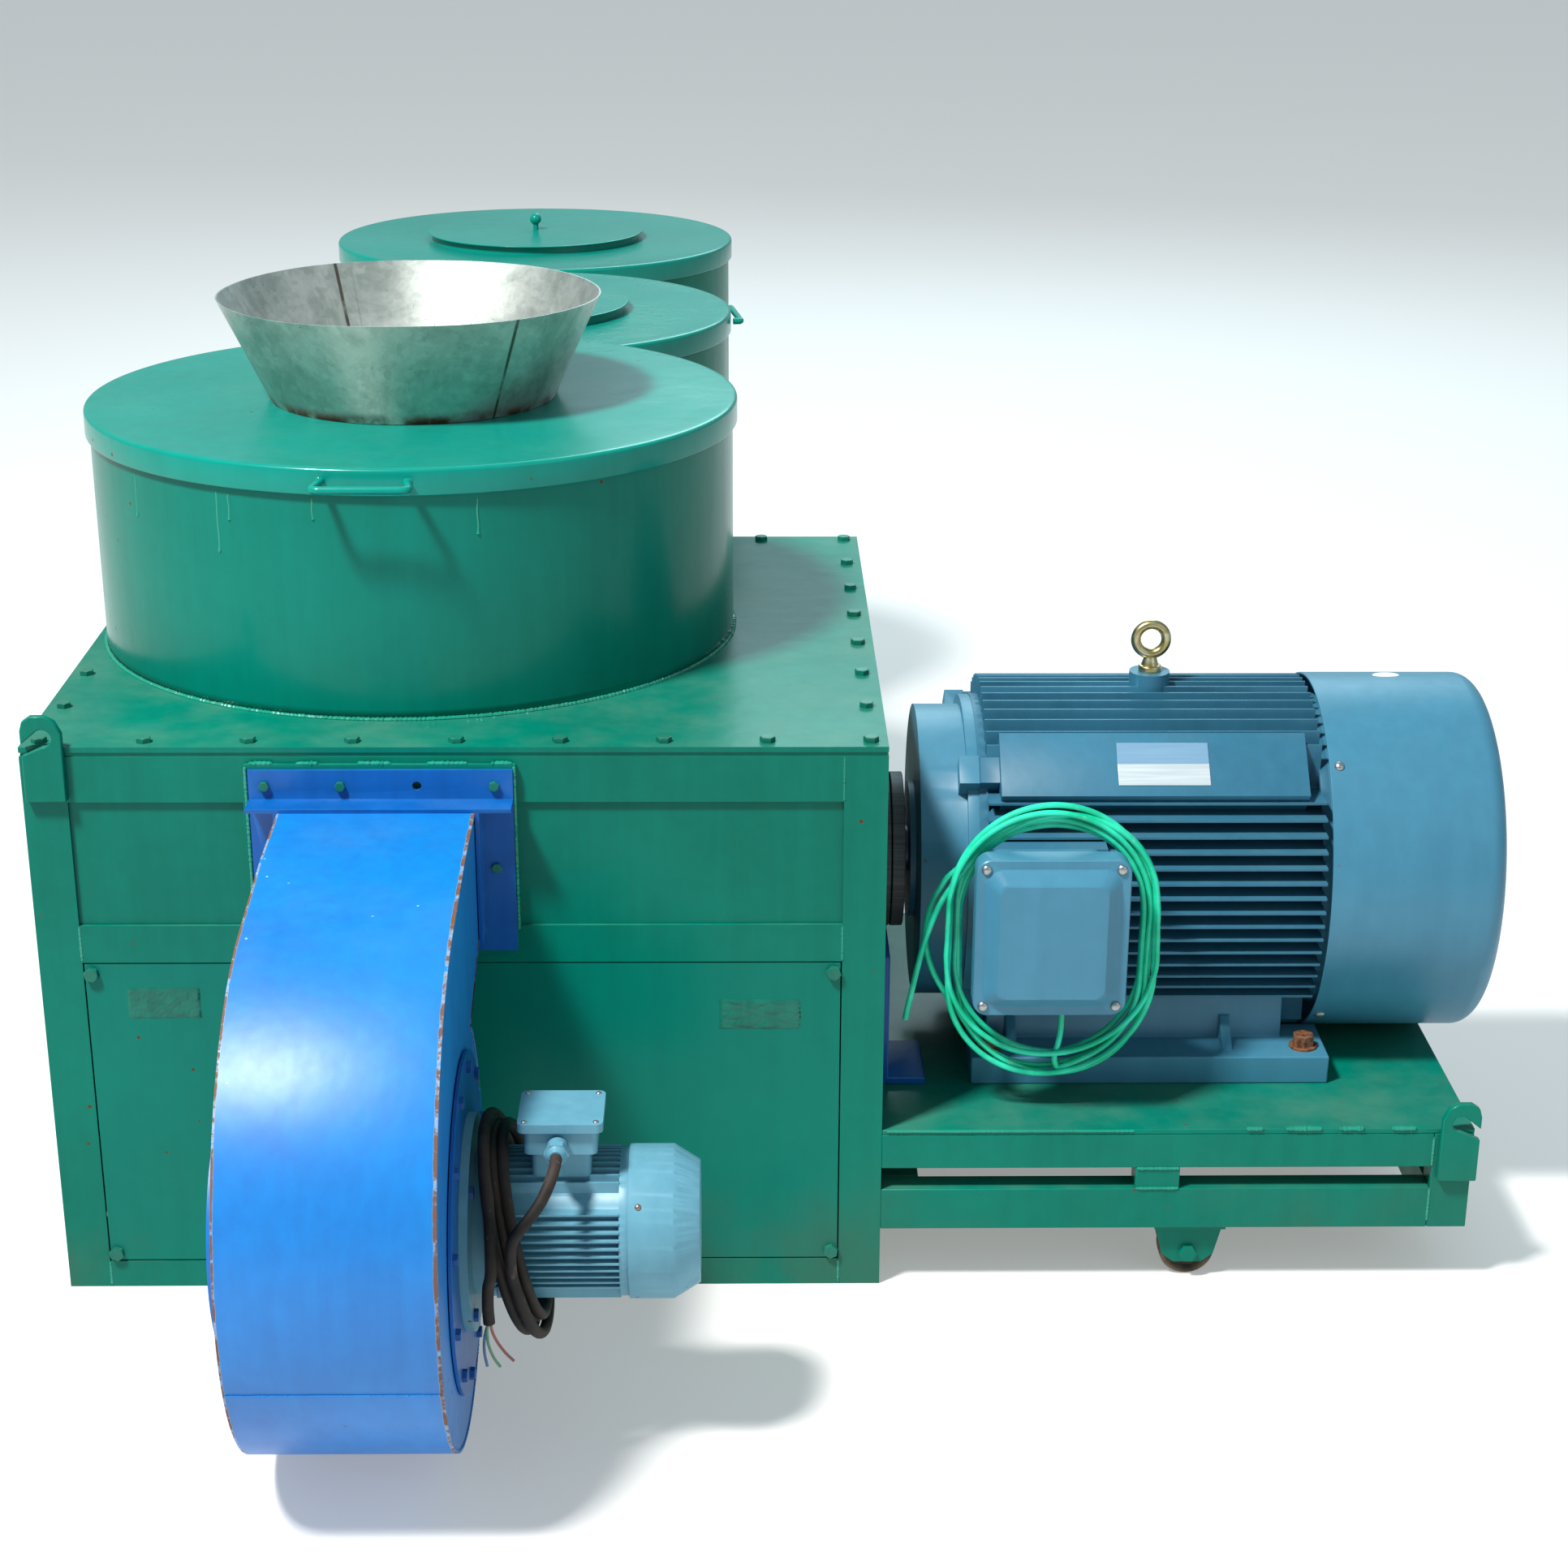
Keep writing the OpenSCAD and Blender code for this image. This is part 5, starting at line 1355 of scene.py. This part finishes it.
# %% Hexagon head
def hexagon_head(flat, height):
    """A chamfered head along +Z with its corners cut at 30 degrees, as (points, faces)."""
    a = np.linspace(0, TURN, 24, endpoint=False)
    corner = (a + TURN / 12) % (TURN / 6) - TURN / 12
    r = flat / np.cos(corner)
    z = height - (r - 0.93 * flat) * math.tan(math.radians(30))
    rings = [(r, 0 * a), (r, z), (0 * a + 0.93 * flat, 0 * a + height)]
    points = np.stack([np.stack([q * np.cos(a), q * np.sin(a), h], -1) for q, h in rings])
    return grid(points, ring_v=True, caps=True)


def placed(shape, spots, direction):
    """Copies of a shape turned from +Z to a direction, each with its own random turn, in mm."""
    points, faces = shape
    w = np.array(direction, float)
    u = np.cross(w, (0.3, 0.5, 0.8))
    u /= np.linalg.norm(u)
    v = np.cross(w, u)
    copies = []
    for spot in spots:
        turn = rng.uniform(0, TURN)
        x = points[:, 0] * math.cos(turn) - points[:, 1] * math.sin(turn)
        y = points[:, 0] * math.sin(turn) + points[:, 1] * math.cos(turn)
        at = x[:, None] * u + y[:, None] * v + points[:, 2:] * w
        copies.append(((at + np.array(spot)) * MM, faces))
    return copies


m12, m10, m8 = hexagon_head(9.95, 8), hexagon_head(7.8, 6.5), hexagon_head(6.8, 6)
print("one head has", len(m12[1]), "faces")

# %% [markdown]
# ## Bolts of the housing
#
# M12 bolts hold the top plate all round at an even pitch, and four hold the service door. The
# blower's outlet flange has smaller ones. The left row has a gap where the feed drum stands over
# it.

# %% Housing bolts
HX, HY, EDGE = 625, 590, 25
TOP_FACE, DOOR_FACE = 880, -589
bolt_x = np.linspace(-HX + EDGE, HX - EDGE, 9)
bolt_y = np.linspace(-HY + EDGE, HY - EDGE, 8)
top_spots = [(x, s * (HY - EDGE), TOP_FACE) for x in bolt_x for s in (-1, 1)]
for y in bolt_y[1:-1]:
    top_spots += [(s * (HX - EDGE), y, TOP_FACE) for s in (-1, 1) if s > 0 or abs(y) > 100]
door_spots = [(s * 549, DOOR_FACE, z) for s in (-1, 1) for z in (58, 526)]
outlet_spots = [
    (-274, -604, 826), (-165, -604, 826), (56, -604, 826), (-274, -604, 700), (56, -604, 700),
    (-120, -604, 584), (0, -604, 584),
]
piece(
    "m12_bolts",
    placed(m12, top_spots, (0, 0, 1)) + placed(m12, door_spots, (0, -1, 0)),
    bolt_green,
    "housing",
    ("housing_bolts",),
    smooth=25,
)
piece(
    "outlet_bolts",
    placed(m8, outlet_spots, (0, -1, 0)),
    bolt_green,
    "housing",
    smooth=25,
)

# %% [markdown]
# ## Bolts of the blower and the motor's feet
#
# Twelve M10 bolts hold the blower's side cover and four its motor. The drive motor's feet have big
# rusty bolts on washers, and a washer is one more turned outline.

# %% Machine bolts
def bolt_circle(x, radius, angles):
    """Places at angles in degrees on a circle about the blower's shaft."""
    a = np.radians(angles)
    return np.stack([x + 0 * a, FAN_Y + radius * np.cos(a), FAN_Z + radius * np.sin(a)], -1)


ring_spots = [*bolt_circle(36, 215, np.arange(15, 360, 30)), *bolt_circle(48, 132, [45, 135, 225, 315])]
piece(
    "cover_bolts",
    placed(m10, ring_spots, (1, 0, 0)),
    blue_bolt,
    "housing",
    ("blower_cover_bolts",),
    smooth=25,
)

SHAFT_Y, SHAFT_Z = -155, 556
washer_line = [(0, 4), (21, 4), (22, 3.2), (22, 0), (0, 0)]
washer = grid(revolve(washer_line, (0, 0, 0), steps=24), ring_u=True)
foot_head = hexagon_head(15, 18)
foot_head[0][:, 2] += washer_line[0][1]
foot_spots = [(x, SHAFT_Y + s * 236, 310) for x in (800, 1300) for s in (-1, 1)]
piece(
    "motor_foot_bolts",
    placed(foot_head, foot_spots, (0, 0, 1)) + placed(washer, foot_spots, (0, 0, 1)),
    rust_bolt,
    "housing",
    ("foot_bolts",),
    smooth=25,
)

# %% [markdown]
# ## Dome screws
#
# The drive motor's fan cover is held by four plated dome screws, and its terminal box by four more.
# A dome is a quarter of an ellipse turned about its axis.

# %% Dome screws
COVER_R = 286
BOX_X, BOX_Z = 874, 570


def dome(r, h):
    """A low dome of a radius and a height: a quarter ellipse turned round, on z = 0."""
    t = np.radians(np.linspace(0, 90, 7))
    profile = np.stack([r * np.cos(t), h * np.sin(t)], -1)
    return grid(revolve(profile, (0, 0, 0), steps=24), ring_u=True)


screws = []
for turn in np.radians((47, 133, 227, 313)):
    out = np.array((0, math.cos(turn), math.sin(turn)))
    spot = np.array((1332, SHAFT_Y, SHAFT_Z)) + (COVER_R + 0.02) * out
    screws += placed(dome(8, 5.5), [spot], out)
box_corners = [(BOX_X + sx * 100, -568, BOX_Z + sz * 110) for sx in (-1, 1) for sz in (-1, 1)]
screws += placed(dome(8, 5), box_corners, (0, -1, 0))
piece("dome_screws", screws, bright_steel, "housing", ("motor_screws",))

# %% [markdown]
# ## Terminal box cover
#
# The cover is cast with a raised middle whose long bevels leave room for the corner screws. It is a
# stack of rounded rectangles, each smaller and nearer than the last, joined into one skin.

# %% Terminal box cover
def rounded_rectangle(width, height, radius, count=10):
    """Points round a rectangle with quarter-circle corners, in millimetres."""
    a = np.radians(np.linspace(0, 90, count))
    corner = radius * np.stack([np.cos(a), np.sin(a)], -1)
    points = []
    quarters = (((1, 1), (1, 0)), ((-1, 1), (0, 1)), ((-1, -1), (-1, 0)), ((1, -1), (0, -1)))
    for (sx, sy), (cos, sin) in quarters:
        x, y = corner.T
        turned = np.stack([x * cos - y * sin, x * sin + y * cos], -1)
        points.append(turned + (sx * (width / 2 - radius), sy * (height / 2 - radius)))
    return np.vstack(points)


def stack(layers, centre):
    """Rounded rectangles (width, height, radius, y) from back to front as one closed skin."""
    rings = []
    for width, height, radius, y in layers:
        x, z = rounded_rectangle(width, height, radius).T
        rings.append(np.column_stack([x + centre[0], np.full(len(x), y), z + centre[1]]))
    return grid(np.array(rings) * MM, ring_v=True, caps=True)


LAYERS = [
    (230, 250, 22, -560), (230, 250, 22, -566.4), (227, 247, 21, -568),
    (204, 222, 24, -568), (199, 217, 23, -569.5), (168, 188, 17, -585.6), (160, 180, 15, -588),
    (156, 176, 14, -588),
]
piece(
    "terminal_cover_cast",
    [stack(LAYERS, (BOX_X, BOX_Z))],
    motor_paint,
    "housing",
    ("terminal_box_cover",),
    smooth=28,
)

# %% [markdown]
# ## Small things on the motors
#
# A white oval plug closes a spare hole on top of the large fan cover. The blower motor's cover has a
# copper-coloured screw, and its box lid has four small screws.

# %% Plug and small screws
PLUG_X, PLUG_Y = 1446, -123
lean = math.asin((PLUG_Y - SHAFT_Y) / COVER_R)
points, faces = dome(14, 3.4)
along, across, high = points[:, 0] * 1.55, points[:, 1] * math.cos(lean), points[:, 2] + COVER_R - 0.1
plug_points = np.column_stack([
    PLUG_X + along,
    SHAFT_Y + high * math.sin(lean) + across * math.cos(lean),
    SHAFT_Z + high * math.cos(lean) - across * math.sin(lean),
]) * MM
piece("oval_plug", [(plug_points, faces)], plug_paint, "housing")

out = np.array((0, -math.cos(math.radians(38)), math.sin(math.radians(38))))
screw_at = np.array((272, FAN_Y, FAN_Z)) + 106 * out
piece("copper_screw", placed(dome(4.5, 3), [screw_at], out), copper, "housing")
lid_screws = [(168.5 + sx * 48, -1000 + sy * 44, 507) for sx in (-1, 1) for sy in (-1, 1)]
small_domes = placed(dome(4.2, 2.6), lid_screws, (0, 0, 1))
piece("box_lid_screws", small_domes, bright_steel, "housing")

# %% [markdown]
# ## Eye bolt and nameplate
#
# The motor's eye bolt is forged: a round ring on a collar, plated yellow. The nameplate is a thin
# blank plate with one blue band, held to its pad.

# %% Eye bolt
EYE_X, EYE_Z, EYE_R = 1061, 910, 24
t = np.linspace(0, TURN, 64, endpoint=False)
side = np.stack([np.cos(t), 0 * t, np.sin(t)], -1)
ring = EYE_R * side + (EYE_X, SHAFT_Y, EYE_Z)
q = np.linspace(0, TURN, 20, endpoint=False)[None, :, None]
thick = (8.0 - 0.6 * np.clip(np.sin(t), 0, 1))[:, None, None]
torus = ring[:, None] + thick * (np.cos(q) * side[:, None] + np.sin(q) * np.array((0, 1, 0)))

foot_line = [(0, 858), (18, 858)]
neck_line = [(14, 868.4), (9.5, 882), (0, 882)]
collar_line = np.vstack([foot_line, arc((16, 866), 2, 0, 90, 4), neck_line]) * MM
eye_collar = revolve(collar_line, (EYE_X * MM, SHAFT_Y * MM, 0), steps=48)
piece(
    "lifting_eye",
    [grid(torus * MM, ring_u=True, ring_v=True), grid(eye_collar, ring_u=True)],
    yellow_zinc,
    "housing",
    ("eye_bolt",),
)
softened("nameplate", 0.3, plate_paint, "plate_aluminium")

# %% [markdown]
# ## Tape patches
#
# Two strips of tape were left on the door and painted over. They have wrinkled, so each is a fine
# grid whose height is a sum of short waves, closed by its own back.

# %% Tape patches
def patch(x0, x1, z0, z1, seed):
    """A wrinkled strip that stands up to 1.5 mm in front of the door, with ragged ends."""
    u, v = np.meshgrid(np.linspace(0, 1, 70), np.linspace(0, 1, 34), indexing="ij")
    x, z = x0 + (x1 - x0) * u, z0 + (z1 - z0) * v
    edge = np.minimum(np.minimum(u, 1 - u) * (x1 - x0), np.minimum(v, 1 - v) * (z1 - z0))
    crease = np.abs(waves(0.6 * x, z, 5, 0.7, 26, seed)) + np.abs(waves(x, z, 4, 0.35, 11, seed + 1))
    y = DOOR_FACE - 0.1 - np.clip(edge / 2.5, 0, 1) * (0.15 + np.clip(crease, 0, 1.2))
    ragged = 1.2 * np.sin(z * 0.9 + seed) * (np.abs(u - 0.5) * 2) ** 30
    front = np.stack([x - ragged * np.sign(u - 0.5), y, z], -1)
    back = front * (1, 0, 1) + (0, DOOR_FACE + 0.4, 0)
    ring = np.concatenate([front, back[:, ::-1]], axis=1)
    return grid(ring * MM, ring_v=True, caps=True)


piece(
    "painted_tape_strips",
    [patch(-499, -392, 454, 503, 4), patch(379, 499, 434, 482, 8)],
    tape_paint,
    "housing",
    ("tape_patches",),
    smooth=60,
)

# %% [markdown]
# ## Castor wheels
#
# A castor's wheel is a cast hub with a hard tread. Its profile has a crowned rim and rounded
# shoulders, and the side faces are dished, so the wheel is one closed outline turned about its axle.

# %% Castor wheels
CASTOR_X, WHEEL_R = 1105, 43
hub = [(8.2, 20.5), (16.5, 20.5), (18, 19.2), (22, 12), (31, 11.5), (35, 16.5)]
shoulder = np.vstack([hub, arc((39, 14), 3.8, 110, 20, 6), [(WHEEL_R, 7)]])
wheel_outline = np.vstack([shoulder, [(WHEEL_R, 0)], (shoulder * (1, -1))[::-1]]) * MM

for name, y in (("front", -545), ("rear", 235)):
    axle = np.array((CASTOR_X, y, WHEEL_R)) * MM
    piece(
        f"castor_{name}_tread",
        [closed_turn(wheel_outline, axle, "y", 96)],
        tread,
        f"castor_{name}",
        (f"castor_wheel_{name}",),
    )

# %% [markdown]
# ## Finishes of the inner parts
#
# The chamber, its screen, the rotor, the bearings and the motor's core only show through openings.
# They keep the design's own shapes and take a steel finish each.

# %% Inner parts
INNER = {
    "mill_chamber": worn_steel, "screen": worn_steel, "bearing_frame": green_paint,
    "bearing_blocks": cast_iron, "rotor_shaft": dark_steel, "rotor_discs": worn_steel,
    "hammer_pins": dark_steel, "hammers_a": worn_steel, "hammers_b": worn_steel,
    "hammers_c": worn_steel, "motor_rotor": dark_steel, "motor_stator": cast_iron,
    "impeller": plain_blue,
}
for node, look in INNER.items():
    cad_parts[node].data.materials.clear()
    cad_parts[node].data.materials.append(look)
print("inner parts", len(INNER))
shown = [name for name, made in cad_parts.items() if not made.hide_render]
left_over = [name for name in shown if name not in INNER]
print("design parts without a piece:", left_over)
